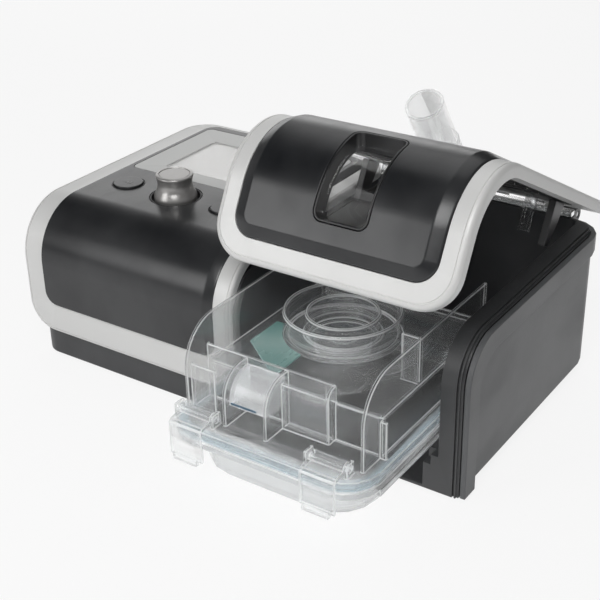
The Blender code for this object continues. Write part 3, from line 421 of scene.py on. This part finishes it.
# a whiter, near-chrome copy of the silver paint: a painted highlight for the frames' rounded
# outer edges and the rear trim
painted_highlight_finish = plastic("painted highlight finish", (0.96, 0.96, 0.955), (0.20, 0.26), 0.000003, 0.01, edge=0.5,
                 metallic=0.9, grain_scale=fine_grain_scale)
side_grey = plastic("side cover grey", (0.092, 0.095, 0.099), (0.42, 0.52), 0.00003)
rubber = plastic("foot rubber", (0.014, 0.014, 0.015), (0.65, 0.80), 0.00004, dust=0.2)
line_blue = plastic("grip line blue", (0.02, 0.09, 0.16), (0.30, 0.40), 0.000004)
mark_grey = plastic("button mark grey", (0.20, 0.20, 0.20), (0.40, 0.50), 0.000004)
lens_grey = plastic("display border grey", (0.44, 0.445, 0.435), (0.12, 0.18), 0.000002, 0.03)
print("plastics", len(bpy.data.materials))

# %% [markdown]
# The liquid crystal screen is pale even when it is off. Fine square dots cover it, with thin
# darker lines between them. A group turns the piece's own coordinates into that mask: it measures
# the distance from the nearest line along x and along y, and each line fades out over a short
# way. It is kept faint, as such dots only show close up.

# %% Screen dots
half_pitch = 0.00045         # from a line to the middle of a dot
line_edge = (0.12, 0.24)     # the shares of that way between which a line fades out
line_shade = 0.10
screen_gloss = (0.28, 0.36)


def dots_group():
    tree, inside, outside = new_group("screen dots", {"Half Pitch": half_pitch}, ("Dots",))
    place = tree.nodes.new("ShaderNodeTexCoord").outputs["Object"]
    split = tree.nodes.new("ShaderNodeSeparateXYZ")
    link(tree, place, split.inputs[0])
    sides = []
    for axis in ("X", "Y"):
        wave = calculated(tree, "PINGPONG", split.outputs[axis], inside.outputs["Half Pitch"])
        share = calculated(tree, "DIVIDE", wave, inside.outputs["Half Pitch"])
        sides.append(ranged(tree, share, *line_edge))
    link(tree, calculated(tree, "MULTIPLY", *sides), outside.inputs["Dots"])
    return tree


def screen_surface(name, colour):
    made, tree, shader = new_surface(name)
    grid = placed(tree, dots_group())
    link(tree, mixed(tree, grid.outputs["Dots"], darker(colour, line_shade), colour),
         shader.inputs["Base Color"])
    marks = placed(tree, handling)
    link(tree, ranged(tree, marks.outputs["Smear"], 0.0, 1.0, *screen_gloss),
         shader.inputs["Roughness"])
    return made


screen_pale = screen_surface("display screen", (0.45, 0.445, 0.435))
print("screen dots", half_pitch * 2)

# %% [markdown]
# Clear moulded plastic lets most light through, but its surface is never quite free of haze. So
# the shader is a little less than fully transmissive, which leaves a pale veil on thin walls, and
# its Alpha lets part of what lies behind show through unbent. For shadow rays the material is
# nearly transparent, because Cycles doesn't bend light through glass on its way to a lamp, and a
# clear box would otherwise stand in its own dark shadow. Light passes many thin walls here, so
# the limits on how often a ray may go on are raised to leave room for all of them.

# %% Clear materials
scene.cycles.max_bounces = 24
scene.cycles.transmission_bounces = 24
scene.cycles.transparent_max_bounces = 48
clear_index = 1.49           # how strongly clear plastic bends light
worn_share = 2.5             # smeared places are this many times rougher


def clear_plastic(name, colour, roughness=0.015, wave=0.00003, through=0.965, cover=0.50,
                  shade=0.04):
    """Cover is the Alpha that is seen, and shade the Alpha for shadows."""
    made, tree, shader = new_surface(name)
    shader.inputs["Transmission Weight"].default_value = through
    shader.inputs["IOR"].default_value = clear_index
    texture = placed(tree, grain, grain_scale=160.0, flow_scale=30.0)
    tint = mixed(tree, texture.outputs["Flow"], colour, lighter(colour, 0.25))
    link(tree, tint, shader.inputs["Base Color"])
    marks = placed(tree, handling)
    rough = ranged(tree, marks.outputs["Smear"], 0.0, 1.0, roughness, roughness * worn_share)
    link(tree, rough, shader.inputs["Roughness"])
    link(tree, bumped(tree, texture.outputs["Height"], wave), shader.inputs["Normal"])
    solid = ranged(tree, any_ray(tree, "Is Shadow Ray"), 0.0, 1.0, cover, shade)
    link(tree, solid, shader.inputs["Alpha"])
    return made


clear = clear_plastic("clear chamber plastic", (0.965, 0.98, 0.985), through=0.92,
                      cover=0.36)
clear_edge = clear_plastic("clear plastic edge", (0.97, 0.985, 0.99), 0.08, through=0.30,
                           cover=0.85, shade=0.08)
frosted = clear_plastic("pan plastic", (0.95, 0.965, 0.97), 0.06, through=0.68, cover=0.75)
hazy = clear_plastic("hazed grip plastic", (0.93, 0.945, 0.955), 0.14, through=0.70, cover=0.85)
seal_blue = clear_plastic("seal rubber", (0.66, 0.80, 0.87), 0.20, through=0.70, cover=0.75)
pane_clear = clear_plastic("window plastic", (0.97, 0.975, 0.98), 0.01, wave=0.000002,
                           through=0.98, cover=0.10, shade=0.03)
smoked = clear_plastic("smoked plastic", (0.55, 0.57, 0.60), 0.08)
teal = clear_plastic("teal plate", (0.19, 0.39, 0.36), 0.20, wave=0.000003, through=0.20,
                     cover=0.94)
lens_clear = clear_plastic("display window", (0.96, 0.96, 0.955), 0.02, wave=0.000002,
                           through=0.98, cover=0.45, shade=0.05)
print("clear plastics made")

# %% [markdown]
# Turned and rolled metal carries fine lines. Noise stretched along one direction gives them, used
# for both the roughness and a very shallow bump.

# %% Metal materials
rolled = (60.0, 4200.0, 4200.0)      # noise scale along x, y and z
turned_lines = (300.0, 300.0, 5200.0)
line_height = 0.00001


def brushed_metal(name, colour, stretch, gloss=(0.22, 0.38), metallic=1.0):
    made, tree, shader = new_surface(name)
    shader.inputs["Metallic"].default_value = metallic
    place = tree.nodes.new("ShaderNodeTexCoord").outputs["Object"]
    lines = tree.nodes.new("ShaderNodeMapping")
    lines.inputs["Scale"].default_value = stretch
    link(tree, place, lines.inputs["Vector"])
    streak = tree.nodes.new("ShaderNodeTexNoise")
    streak.inputs["Scale"].default_value = 1.0
    streak.inputs["Detail"].default_value = 2.0
    link(tree, lines.outputs[0], streak.inputs["Vector"])
    link(tree, ranged(tree, streak.outputs[0], 0.3, 0.7, *gloss), shader.inputs["Roughness"])
    body = mixed(tree, streak.outputs[0], darker(colour, 0.15), lighter(colour, 0.08))
    link(tree, body, shader.inputs["Base Color"])
    link(tree, bumped(tree, streak.outputs[0], line_height), shader.inputs["Normal"])
    return made


steel = brushed_metal("rolled steel", (0.56, 0.56, 0.57), rolled)
knob_metal = brushed_metal("turned aluminium", (0.44, 0.43, 0.42), turned_lines,
                           (0.30, 0.38), 0.7)
base_metal = brushed_metal("rolled base plate", (0.91, 0.92, 0.925), rolled,
                           (0.40, 0.52), 0.05)
print("metals made")

# %% [markdown]
# Each finished piece stands for one construction node. It rides on the same body, so that it
# moves with the same joint.

# %% Bookkeeping
pieces = {}


def body_of(node):
    for body, members in frame["record"]["behaviour"]["bodies"].items():
        if node in members:
            return body
    return None


def shown(name, mesh, surface, edge_surface=None):
    mesh.materials.clear()
    mesh.materials.append(surface)
    if edge_surface:
        mesh.materials.append(edge_surface)
    piece = bpy.data.objects.new(name, mesh)
    scene.collection.objects.link(piece)
    pieces[name] = piece
    return piece


def fitted(piece, node):
    """Give a piece the body of the node that carries it."""
    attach(piece, body_of(node))


def finished(piece, node):
    """Let a piece stand for a node, on the same body, and hide the node."""
    fitted(piece, node)
    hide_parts(node)


# %% [markdown]
# The blower's frame and panel and the whole lid are flat shapes bent over one profile: a front
# wall, a round bend and a flat top. They are drawn flat, with x across and the length along the
# profile, and then bent. A coarse bend shows as stripes in the gloss, so it is cut into many
# narrow strips here.

# %% Bent profile
bend_steps = 40


class Hood:
    """A front wall, a round bend and a flat top. Length runs from the foot over the bend."""

    def __init__(self, front, top, foot, radius):
        self.front, self.top, self.foot, self.radius = front, top, foot, radius
        self.rise = top - radius - foot
        self.bend = radius * math.pi / 2

    def place(self, length, out):
        """The (y, z) place and the turn at a length along the profile, a height out of it."""
        if length <= self.rise:
            return self.front - out, self.foot + length, 0.0
        if length <= self.rise + self.bend:
            angle = (length - self.rise) / self.radius
            reach = self.radius + out
            return (self.front + self.radius - reach * math.cos(angle),
                    self.top - self.radius + reach * math.sin(angle), angle)
        return (self.front + self.radius + length - self.rise - self.bend, self.top + out,
                math.pi / 2)

    def length_at(self, y):
        """The length at which the flat top reaches y."""
        return self.rise + self.bend + y - self.front - self.radius

    def stations(self):
        return [self.rise + self.bend * i / bend_steps for i in range(bend_steps + 1)]


centre = Vector((0.00015, 0.07625, 0.0))     # the machine's middle, from the parting plane
hood_top = 0.0995
hood_foot = 0.0205
housing_rear = 0.1710
lid_rear = 0.1640
blower_hood = Hood(-0.0030, hood_top, hood_foot, 0.0330)
lid_hood = Hood(-0.0115, hood_top, hood_foot, 0.0400)
hinge = Vector((0.0090, 0.1770, 0.0900))
lid_open_angle = math.radians(27.9)
housing_place = Matrix.Translation(-centre)
lid_place = (housing_place @ Matrix.Translation(hinge)
             @ Matrix.Rotation(-lid_open_angle, 4, "X") @ Matrix.Translation(-hinge))
print("lid profile length", round(lid_hood.length_at(lid_rear), 4))

# %% [markdown]
# A moulding's edge is a small round, and the light that runs along it is most of what tells the
# eye that a thing is moulded. Each flat shape is built as loops: an outline is set in a little at
# every height of the edge, and the loops are joined into walls. The flat faces between the outer
# loop and the holes are filled with triangles.

# %% Flat mouldings
corner_steps = 12
round_steps = 6
circle_steps = 64
gap = 0.0003
least_corner = gap / 3


def rounded_outline(left, right, low, high, low_radius, high_radius=None):
    """A function that gives the points of a rounded rectangle, set in by a distance."""
    corners = ((left, low, low_radius, 180), (right, low, low_radius, 270),
               (right, high, high_radius or low_radius, 0),
               (left, high, high_radius or low_radius, 90))

    def points(inset):
        made = []
        for x, y, radius, start in corners:
            reach = max(radius - inset, least_corner)
            side_x = 1 if x == left else -1
            side_y = 1 if y == low else -1
            middle = (x + side_x * (inset + reach), y + side_y * (inset + reach))
            for step in range(corner_steps + 1):
                angle = math.radians(start + 90 * step / corner_steps)
                made.append((middle[0] + reach * math.cos(angle),
                             middle[1] + reach * math.sin(angle)))
        return made

    return points


def round_outline(x, y, radius):
    """The same for a circle."""
    def points(inset):
        turns = [math.tau * step / circle_steps for step in range(circle_steps)]
        return [(x + (radius - inset) * math.cos(turn), y + (radius - inset) * math.sin(turn))
                for turn in turns]

    return points


def edge_round(top, radius, steps=round_steps):
    """Inset and height pairs of a quarter round that ends level at the top."""
    turns = [math.pi / 2 * step / steps for step in range(steps + 1)]
    return [(radius * (1 - math.cos(turn)), top - radius * (1 - math.sin(turn)))
            for turn in turns]


def joined_loops(bm, outline, wall, finish=0):
    loops = [[bm.verts.new((x, y, height)) for x, y in outline(inset)] for inset, height in wall]
    for low, high in zip(loops, loops[1:]):
        for i in range(len(low)):
            j = (i + 1) % len(low)
            bm.faces.new((low[i], low[j], high[j], high[i])).material_index = finish
    return loops


def loop_edges(bm, loop):
    return [bm.edges.get((loop[i - 1], loop[i])) for i in range(len(loop))]


def flat_moulding(outline, wall, holes=(), hole_wall=None, edge_finish=0):
    """A slab with its outer wall from the underside up, and holes whose walls run down."""
    bm = bmesh.new()
    loops = joined_loops(bm, outline, wall, edge_finish)
    under = loop_edges(bm, loops[0])
    over = loop_edges(bm, loops[-1])
    for hole in holes:
        ring = joined_loops(bm, hole, hole_wall)
        over += loop_edges(bm, ring[0])
        under += loop_edges(bm, ring[-1])
    for rim in (under, over):
        bmesh.ops.triangle_fill(bm, edges=rim, use_beauty=True, use_dissolve=False,
                                normal=(0, 0, 1))
    bmesh.ops.recalc_face_normals(bm, faces=bm.faces)
    return bm


print("mouldings are drawn as loops of", 4 * (corner_steps + 1), "points")

# %% [markdown]
# Bending turns every surface direction as well as every point. Blender would work the smooth
# shading out again from the bent strips, and would spread the rounded edges' shading over the
# flat faces. Instead the shading is worked out on the flat shape, where a Weighted Normal
# modifier keeps flat faces flat, and the bend then turns points and directions together.

# %% Bending
sharp_angle = math.radians(40)
face_weight = 90             # how much large faces lead the shading
cut_distance = 0.000001


def weighted(mesh):
    """The mesh with shading directions that follow its large flat faces."""
    mesh.shade_smooth()
    mesh.set_sharp_from_angle(angle=sharp_angle)
    item = bpy.data.objects.new("work", mesh)
    scene.collection.objects.link(item)
    modifier = item.modifiers.new("shading", "WEIGHTED_NORMAL")
    modifier.keep_sharp = True
    modifier.weight = face_weight
    bpy.context.view_layer.update()
    graph = bpy.context.evaluated_depsgraph_get()
    made = bpy.data.meshes.new_from_object(item.evaluated_get(graph))
    bpy.data.objects.remove(item, do_unlink=True)
    return made


def bent(bm, hood, place, name):
    for length in hood.stations():
        parts = bm.verts[:] + bm.edges[:] + bm.faces[:]
        bmesh.ops.bisect_plane(bm, geom=parts, plane_co=(0, length, 0), plane_no=(0, 1, 0),
                               dist=cut_distance)
    flat = bpy.data.meshes.new(name)
    bm.to_mesh(flat)
    bm.free()
    mesh = weighted(flat)
    mesh.name = name
    directions = [Vector(normal.vector) for normal in mesh.corner_normals]
    turn = place.to_3x3()
    turned_directions = []
    for corner, direction in zip(mesh.loops, directions):
        angle = hood.place(mesh.vertices[corner.vertex_index].co.y, 0.0)[2]
        # flat (across, along, out) becomes (x, y, z) on the profile
        along = Vector((0, math.sin(angle), math.cos(angle)))
        out = Vector((0, -math.cos(angle), math.sin(angle)))
        turned_directions.append(turn @ (Vector((direction.x, 0, 0)) + along * direction.y
                                         + out * direction.z).normalized())
    for vertex in mesh.vertices:
        y, z, _ = hood.place(vertex.co.y, vertex.co.z)
        vertex.co = place @ Vector((vertex.co.x, y, z))
    mesh.normals_split_custom_set(turned_directions)
    return mesh


def bent_piece(name, bm, hood, place, node, *surfaces):
    finished(shown(name, bent(bm, hood, place, name), *surfaces), node)


print("bend strips", bend_steps)

# %% [markdown]
# The blower's silver frame runs up the front, over the bend and back along the top, with the
# charcoal panel in its opening. The panel stands a little proud of it. The knob's well, the
# buttons' wells and the display lie in openings of the panel.

# %% Blower frame and panel
parting_x = 0.0054
blower_left = -0.1480
frame_wall = 0.0050
frame_low = 0.0190
band_left, band_right = 0.0150, 0.0110   # widths of the frame's upright bands
band_rear = 0.0060
frame_corner = 0.0180
frame_hole_corner = 0.0090
bead_round = 0.0020
groove_deep = 0.0004
groove_start, groove_middle, groove_end = 1.08, 1.20, 1.26   # in radii of the bead


def beaded(wall, radius):
    """The outer wall of a frame: a round bead, then a fine groove."""
    return [(0.0, -wall)] + edge_round(0.0, radius) + [
        (radius * groove_start, -groove_deep), (radius * groove_middle, -groove_deep),
        (radius * groove_end, 0.0)]


frame_high = blower_hood.length_at(housing_rear - band_rear)
knob_x = -0.0752
controls_y = 0.0552
controls_length = blower_hood.length_at(controls_y)
button_spacing = 0.0370      # from the knob's middle to each button's
knob_hole_radius = 0.0158
button_hole_radius = 0.0101
lens_box = (-0.1290, -0.0150, 0.0780, 0.1580)   # left, right, front and rear
lens_corner = 0.0040
small_round = 0.0004


def hole_round(top, radius, low):
    """The wall of a hole, from a small round at the top down to the underside."""
    return [(-inset, height) for inset, height in reversed(edge_round(top, radius, 3))] + [
        (0.0, low)]


frame_shape = flat_moulding(
    rounded_outline(blower_left, parting_x, 0.0, blower_hood.length_at(housing_rear),
                    frame_corner), beaded(frame_wall, bead_round),
    [rounded_outline(blower_left + band_left, parting_x - band_right, frame_low, frame_high,
                     frame_hole_corner)], hole_round(0.0, small_round, -frame_wall), 1)
# the frame's outer wall takes the whiter finish, a painted highlight along its rounded edge
bent_piece("blower_frame", frame_shape, blower_hood, housing_place, "silver_frame", silver,
           painted_highlight_finish)

lens_low, lens_high = (blower_hood.length_at(y) for y in lens_box[2:])
panel_holes = [round_outline(knob_x, controls_length, knob_hole_radius)]
panel_holes += [round_outline(knob_x + side * button_spacing, controls_length,
                              button_hole_radius) for side in (-1, 1)]
panel_holes.append(rounded_outline(lens_box[0] - gap, lens_box[1] + gap, lens_low - gap,
                                   lens_high + gap, lens_corner + gap))
panel_raise = 0.0014
steep_share = 0.86


def panel_outline(inset):
    """The panel slopes gently at its right edge and steeply at the other three."""
    steep = inset * steep_share
    return rounded_outline(blower_left + band_left + gap - steep, parting_x - band_right - gap,
                           frame_low + gap - steep, frame_high - gap + steep,
                           frame_hole_corner - gap + steep)(inset)


panel_shape = flat_moulding(
    panel_outline,
    [(0.0, -frame_wall), (0.0, -0.0004), (0.0008, 0.0002), (0.0050, panel_raise * 0.86),
     (0.0057, panel_raise * 0.98), (0.0062, panel_raise)],
    panel_holes, hole_round(panel_raise, small_round / 2, -frame_wall), 1)
bent_piece("blower_panel", panel_shape, blower_hood, housing_place, "front_panel", charcoal,
           black)
print("blower frame and panel", len(pieces))

# %% [markdown]
# The display is a clear window in a glossy grey border. On the real one both are a single sheet
# with the border printed on its back. Here they are two pieces, so that each keeps a plain
# material: an opaque ring, and a thin clear sheet over the screen.

# %% Display
panel_top = hood_top + panel_raise
lens_thickness = 0.0009
lens_borders = (0.0180, 0.0195, 0.0115, 0.0180)   # left, right, front and rear
window_box = tuple(edge + side * border for edge, side, border
                   in zip(lens_box, (1, -1, 1, -1), lens_borders))
window_corner = 0.0008


def lying(bm, place, name):
    """A flat moulding that is left lying and only moved to its place."""
    flat = bpy.data.meshes.new(name)
    bm.to_mesh(flat)
    bm.free()
    mesh = weighted(flat)
    mesh.name = name
    mesh.transform(place)
    return mesh


def inner_outline(box, inset, corner):
    """The outline of a box that is smaller by the same distance on all four sides."""
    left, right, low, high = box
    return rounded_outline(left + inset, right - inset, low + inset, high - inset, corner)


border_shape = flat_moulding(
    rounded_outline(*lens_box, lens_corner),
    [(0.0, panel_top - lens_thickness)] + edge_round(panel_top, small_round / 2, 3),
    [rounded_outline(*window_box, window_corner)],
    hole_round(panel_top, small_round / 4, panel_top - lens_thickness))
finished(shown("display_border", lying(border_shape, housing_place, "display_border"),
               lens_grey), "display_lens")
window_shape = flat_moulding(
    inner_outline(window_box, gap / 3, window_corner - gap / 3),
    [(0.0, panel_top - lens_thickness)] + edge_round(panel_top - small_round / 8,
                                                     small_round / 8, 2))
finished(shown("display_window", lying(window_shape, housing_place, "display_window"),
               lens_clear), "display_lens")
print("display", [round(value, 4) for value in window_box])

# %% [markdown]
# The knob and the button caps are turned shapes. A profile of radius and height pairs is spun
# round the upright axis in fine steps. The knob is waisted just under its top, which carries a
# shallow ring groove, and flares to a thick foot. The caps are flat with a small round at the
# rim.

# %% Turned pieces
turn_steps = 96


def turned(profile, x, y, name):
    bm = bmesh.new()
    rings = []
    for radius, height in profile:
        if radius == 0:
            rings.append([bm.verts.new((x, y, height))])
            continue
        turns = [math.tau * step / turn_steps for step in range(turn_steps)]
        rings.append([bm.verts.new((x + radius * math.cos(turn), y + radius * math.sin(turn),
                                    height)) for turn in turns])
    for upper, lower in zip(rings, rings[1:]):
        for i in range(turn_steps):
            j = (i + 1) % turn_steps
            corners = [upper[i % len(upper)], lower[i % len(lower)], lower[j % len(lower)],
                       upper[j % len(upper)]]
            bm.faces.new(list(dict.fromkeys(corners)))
    bmesh.ops.recalc_face_normals(bm, faces=bm.faces)
    return lying(bm, housing_place, name)


def smooth_run(points, steps=5):
    """Points on a smooth curve through the given ones."""
    ends = [points[0]] + list(points) + [points[-1]]
    made = []
    for before, start, end, after in zip(ends, ends[1:], ends[2:], ends[3:]):
        for step in range(steps):
            t = step / steps
            made.append(tuple(
                0.5 * (2 * b + (c - a) * t + (2 * a - 5 * b + 4 * c - d) * t * t
                       + (3 * b - a - 3 * c + d) * t * t * t)
                for a, b, c, d in zip(before, start, end, after)))
    return made + [points[-1]]


well_depth = 0.0044          # the knob's well under the panel's face
well_wall = 0.0013
knob_travel = 0.0012
turning_gap = 0.0004
knob_height = 0.0158
# radius, and depth under the knob's top, of the flat top with its groove and of the waisted side
knob_face = ((0.0, 0.0002), (0.0088, 0.0002), (0.0090, 0.0004), (0.0093, 0.0004),
             (0.0095, 0.0), (0.0106, 0.0))
knob_side = ((0.0110, 0.0003), (0.0112, 0.0010), (0.0106, 0.0032), (0.0103, 0.0058),
             (0.0108, 0.0086), (0.0118, 0.0108), (0.0126, 0.0128), (0.0128, 0.0142),
             (0.0126, knob_height))
knob_low = panel_top - well_depth + well_wall + knob_travel + turning_gap
knob_top = knob_low + knob_height
knob_profile = [(radius, knob_top - depth) for radius, depth in knob_face]
knob_profile += smooth_run([(radius, knob_top - depth) for radius, depth in knob_side])
knob_profile.append((0.0, knob_low))
finished(shown("turning_knob", turned(knob_profile, knob_x, controls_y, "turning_knob"),
               knob_metal), "knob")
cap_radius = 0.0090
cap_raise = 0.0011
cap_edge = 0.0006
cap_depth = 0.0050
cap_top = panel_top + cap_raise
cap_round = [(cap_radius - inset, height) for inset, height in edge_round(cap_top, cap_edge, 4)]
cap_profile = ([(0.0, cap_top)] + cap_round[::-1]
               + [(cap_radius, panel_top - cap_depth), (0.0, panel_top - cap_depth)])
for cap_side, cap_sign in (("left", -1), ("right", 1)):
    cap_name = "cap_" + cap_side
    finished(shown(cap_name, turned(cap_profile, knob_x + cap_sign * button_spacing, controls_y,
                                    cap_name), charcoal), "button_" + cap_side)
print("turned pieces made, knob top at", round(knob_top, 4))

# %% [markdown]
# Under the silver frame the blower stands on a plain grey base with round corners, a little
# narrower than the frame.

# %% Base
base_left_inset = 0.0022
base_inset = 0.0045
base_front = 0.0010
base_low, base_high = 0.0023, 0.0202
base_corner = 0.0125
base_edge = 0.0012
base_outline = rounded_outline(blower_left + base_left_inset, parting_x - base_inset, base_front,
                               housing_rear - base_inset, base_corner)
base_foot_round = [(inset, base_low - height)
                   for inset, height in reversed(edge_round(0.0, base_edge, 4))]
base_shape = flat_moulding(base_outline, base_foot_round + [(0.0, base_high)])
finished(shown("standing_base", lying(base_shape, housing_place, "standing_base"), base_grey),
         "blower_base")
print("base made")

# %% [markdown]
# The lid is a second frame on a slightly larger profile. Its outer edge is a thick round bead,
# set off from the satin paint by a fine groove. The bead is the same silver paint, but its outer
# wall gets a whiter, near-chrome finish of its own, which paints in the bright reflection along
# the rounded edge. The charcoal panel rises out of the frame on a slope all round, which ends in
# a crisp crease, and the window is cut through everything.

# %% Lid frame and panel
lid_rear_length = lid_hood.length_at(lid_rear)
lid_wall = 0.0070
lid_left, lid_right = 0.0090, 0.1465
lid_front_corner, lid_rear_corner = 0.0200, 0.0030
lid_band, lid_band_front, lid_band_rear = 0.0110, 0.0125, 0.0120
opening_corner = 0.0120
opening = (lid_left + lid_band, lid_right - lid_band, lid_band_front,
           lid_rear_length - lid_band_rear)
lid_bead_round = 0.0028
lid_frame_shape = flat_moulding(
    rounded_outline(lid_left, lid_right, 0.0, lid_rear_length, lid_front_corner,
                    lid_rear_corner), beaded(lid_wall, lid_bead_round),
    [rounded_outline(*opening, opening_corner)], hole_round(0.0, small_round, -lid_wall), 1)
bent_piece("lid_rim", lid_frame_shape, lid_hood, lid_place, "lid_frame", silver, painted_highlight_finish)

window_edges = (0.0650, 0.0962, 0.0290, 0.0840)   # left, right, low and high along the bend
pane_corner = 0.0055
panel_seat = lid_wall * 0.45
slope_width = 0.0068
slope_rise = 0.0026
slope = [(0.0, -panel_seat), (0.0, -0.0004), (0.0002, 0.0), (0.0008, 0.00045),
         (slope_width * 0.55, slope_rise * 0.62), (slope_width * 0.86, slope_rise * 0.90),
         (slope_width * 0.96, slope_rise * 0.98), (slope_width * 1.06, slope_rise)]
lid_panel_shape = flat_moulding(
    inner_outline(opening, gap, opening_corner - gap), slope,
    [rounded_outline(*window_edges, pane_corner)],
    hole_round(slope_rise, small_round, -panel_seat))
bent_piece("lid_cover", lid_panel_shape, lid_hood, lid_place, "lid_panel", charcoal)
print("lid opening", [round(value, 4) for value in opening])

# %% [markdown]
# A black lip lines the window, and a thin clear pane closes it. Both follow the lid's bend, so
# they are made the same way.

# %% Lid window
lip_thickness = 0.0012
pane_thickness = 0.0015
bezel_shape = flat_moulding(
    inner_outline(window_edges, gap, pane_corner - gap),
    [(0.0, -lid_wall)] + edge_round(slope_rise, small_round, 3),
    [inner_outline(window_edges, gap + lip_thickness, pane_corner - gap - lip_thickness)],
    hole_round(slope_rise, small_round, -lid_wall))
bent_piece("window_lip", bezel_shape, lid_hood, lid_place, "lid_window_bezel", black)
pane_inset = gap * 2 + lip_thickness
pane_shape = flat_moulding(
    inner_outline(window_edges, pane_inset, pane_corner - pane_inset),
    [(0.0, -lid_wall / 2 - pane_thickness), (0.0, -lid_wall / 2)])
bent_piece("window_pane", pane_shape, lid_hood, lid_place, "lid_window_pane", pane_clear)
print("lid pieces", [name for name in pieces if name.startswith(("lid", "window"))])

# %% [markdown]
# The other construction solids are faceted and their edges are sharp. Each is copied, its flat
# facets are merged, and a Bevel modifier rounds what is left. The bevel is set by angle, so the
# shallow facets of a bend stay smooth and only true corners are rounded. A Weighted Normal
# modifier last of all keeps the large faces flat. Light that enters clear plastic comes out again
# at its edges and makes them pale, so the bevel's new faces there get a finish of their own. On
# the clear pieces the bevel isn't clamped, because their smallest facets would hold it to almost
# nothing.

# %% Rounded copies
merge_distance = 0.000005
flat_angle = math.radians(0.6)
corner_angle = math.radians(30)
bevel_segments = 2


def rounded_copy(node, surface, width, edge_surface=None):
    bm = bmesh.new()
    bm.from_mesh(frame["nodes"][node].data)
    bmesh.ops.remove_doubles(bm, verts=bm.verts, dist=merge_distance)
    bmesh.ops.dissolve_limit(bm, angle_limit=flat_angle, verts=bm.verts, edges=bm.edges)
    mesh = bpy.data.meshes.new(node + "_finish")
    bm.to_mesh(mesh)
    bm.free()
    mesh.shade_smooth()
    mesh.set_sharp_from_angle(angle=corner_angle)
    piece = shown(node + "_finish", mesh, surface, edge_surface)
    if width > 0:
        bevel = piece.modifiers.new("rounding", "BEVEL")
        bevel.width = width
        bevel.material = 1 if edge_surface else -1
        bevel.use_clamp_overlap = edge_surface is None
        bevel.segments = bevel_segments
        bevel.limit_method = "ANGLE"
        bevel.angle_limit = corner_angle
        bevel.miter_outer = "MITER_ARC"
    shading = piece.modifiers.new("shading", "WEIGHTED_NORMAL")
    shading.keep_sharp = True
    finished(piece, node)


# finish, width of the rounding in metres, and the nodes that get both
rounded_plans = [
    (charcoal, 0.0005, ("blower_core", "filter_cover")),
    (bay_black, 0.0004, ("bay_body",)),
    (black, 0.0004, ("knob_well", "button_well_left", "button_well_right", "lid_liner",
                     "lid_post_left", "lid_post_right", "outlet_duct", "outlet_socket",
                     "power_inlet", "hinge_ear_left_a", "hinge_ear_left_b",
                     "hinge_ear_right_a", "hinge_ear_right_b")),
    (silver, 0.0005, ("lid_knuckle_left", "lid_knuckle_right")),
    # the rear trim's white finish is a painted highlight
    (painted_highlight_finish, 0.0005, ("rear_trim",)),
    (side_grey, 0.0005, ("side_cover",)),
    (frosted, 0.0005, ("chamber_pan",)),
    (clear, 0.0005, ("chamber_shell", "chamber_spout", "chamber_cup",
                     "latch_left", "latch_right", "latch_pin_left", "latch_pin_right",
                     "elbow")),
    (hazy, 0.0003, ("chamber_grip",)),
    (smoked, 0.0003, ("air_port", "lid_tongue_left", "lid_tongue_right")),
    (teal, 0.0002, ("chamber_plate",)),
    (seal_blue, 0.0002, ("chamber_seal",)),
    (rubber, 0.0005, ("foot_1", "foot_2", "foot_3", "foot_4")),
    (steel, 0.0002, ("knob_shaft", "hinge_pin_left", "hinge_pin_right", "heater_plate")),
    (base_metal, 0.0002, ("chamber_base",)),
    (screen_pale, 0.0, ("display_screen",)),
]
for plan_surface, plan_width, plan_nodes in rounded_plans:
    plan_edge = clear_edge if plan_surface in (clear, frosted, hazy) else None
    for plan_node in plan_nodes:
        rounded_copy(plan_node, plan_surface, plan_width, plan_edge)
print("finished pieces", len(pieces))

# %% [markdown]
# The buttons carry plain raised marks: a ring with a short bar, and three rising bars. The thumb
# grip of the chamber has a fine blue line along its front, and both are thin mouldings that sink
# a little into what carries them.

# %% Marks
mark_height = 0.00012
mark_sink = 0.0003
bar_half_width = 0.0005
bar_foot = 0.0016            # the bars' foot in front of the button's middle
bar_corner = 0.0002
ring_outer, ring_inner = 0.0030, 0.0023
short_bar = (0.0004, 0.0012)         # half its width, and its reach behind the middle


def raised(outline, holes, base, place, name, surface, carrier):
    shape = flat_moulding(outline, [(0.0, base - mark_sink), (0.0, base + mark_height)], holes,
                          [(0.0, base + mark_height), (0.0, base - mark_sink)])
    fitted(shown(name, lying(shape, place, name), surface), carrier)


for count, (bar_x, bar_high) in enumerate(((-0.0020, 0.0008), (0.0, 0.0018), (0.0020, 0.0028))):
    bar_middle = knob_x - button_spacing + bar_x
    raised(rounded_outline(bar_middle - bar_half_width, bar_middle + bar_half_width,
                           controls_y - bar_foot, controls_y - bar_foot + bar_high, bar_corner),
           [], cap_top, housing_place, f"left_mark_{count}", mark_grey, "button_left")
mark_x = knob_x + button_spacing
raised(round_outline(mark_x, controls_y, ring_outer),
       [round_outline(mark_x, controls_y, ring_inner)], cap_top, housing_place,
       "right_mark_ring", mark_grey, "button_right")
raised(rounded_outline(mark_x - short_bar[0], mark_x + short_bar[0], controls_y - short_bar[0],
                       controls_y + short_bar[1], bar_corner), [], cap_top, housing_place,
       "right_mark_bar", mark_grey, "button_right")
chamber_out = 0.0720
grip_front = 0.0220
line_box = (0.0415, 0.0570, 0.0514, 0.0525)      # left, right, low and high on the grip's front
line_corner = 0.0003
line_place = (housing_place @ Matrix.Translation((0.0, grip_front - chamber_out, 0.0))
              @ Matrix.Rotation(math.pi / 2, 4, "X"))
raised(rounded_outline(*line_box, line_corner), [], 0.0, line_place, "grip_line", line_blue,
       "chamber_grip")
print("marks fitted")
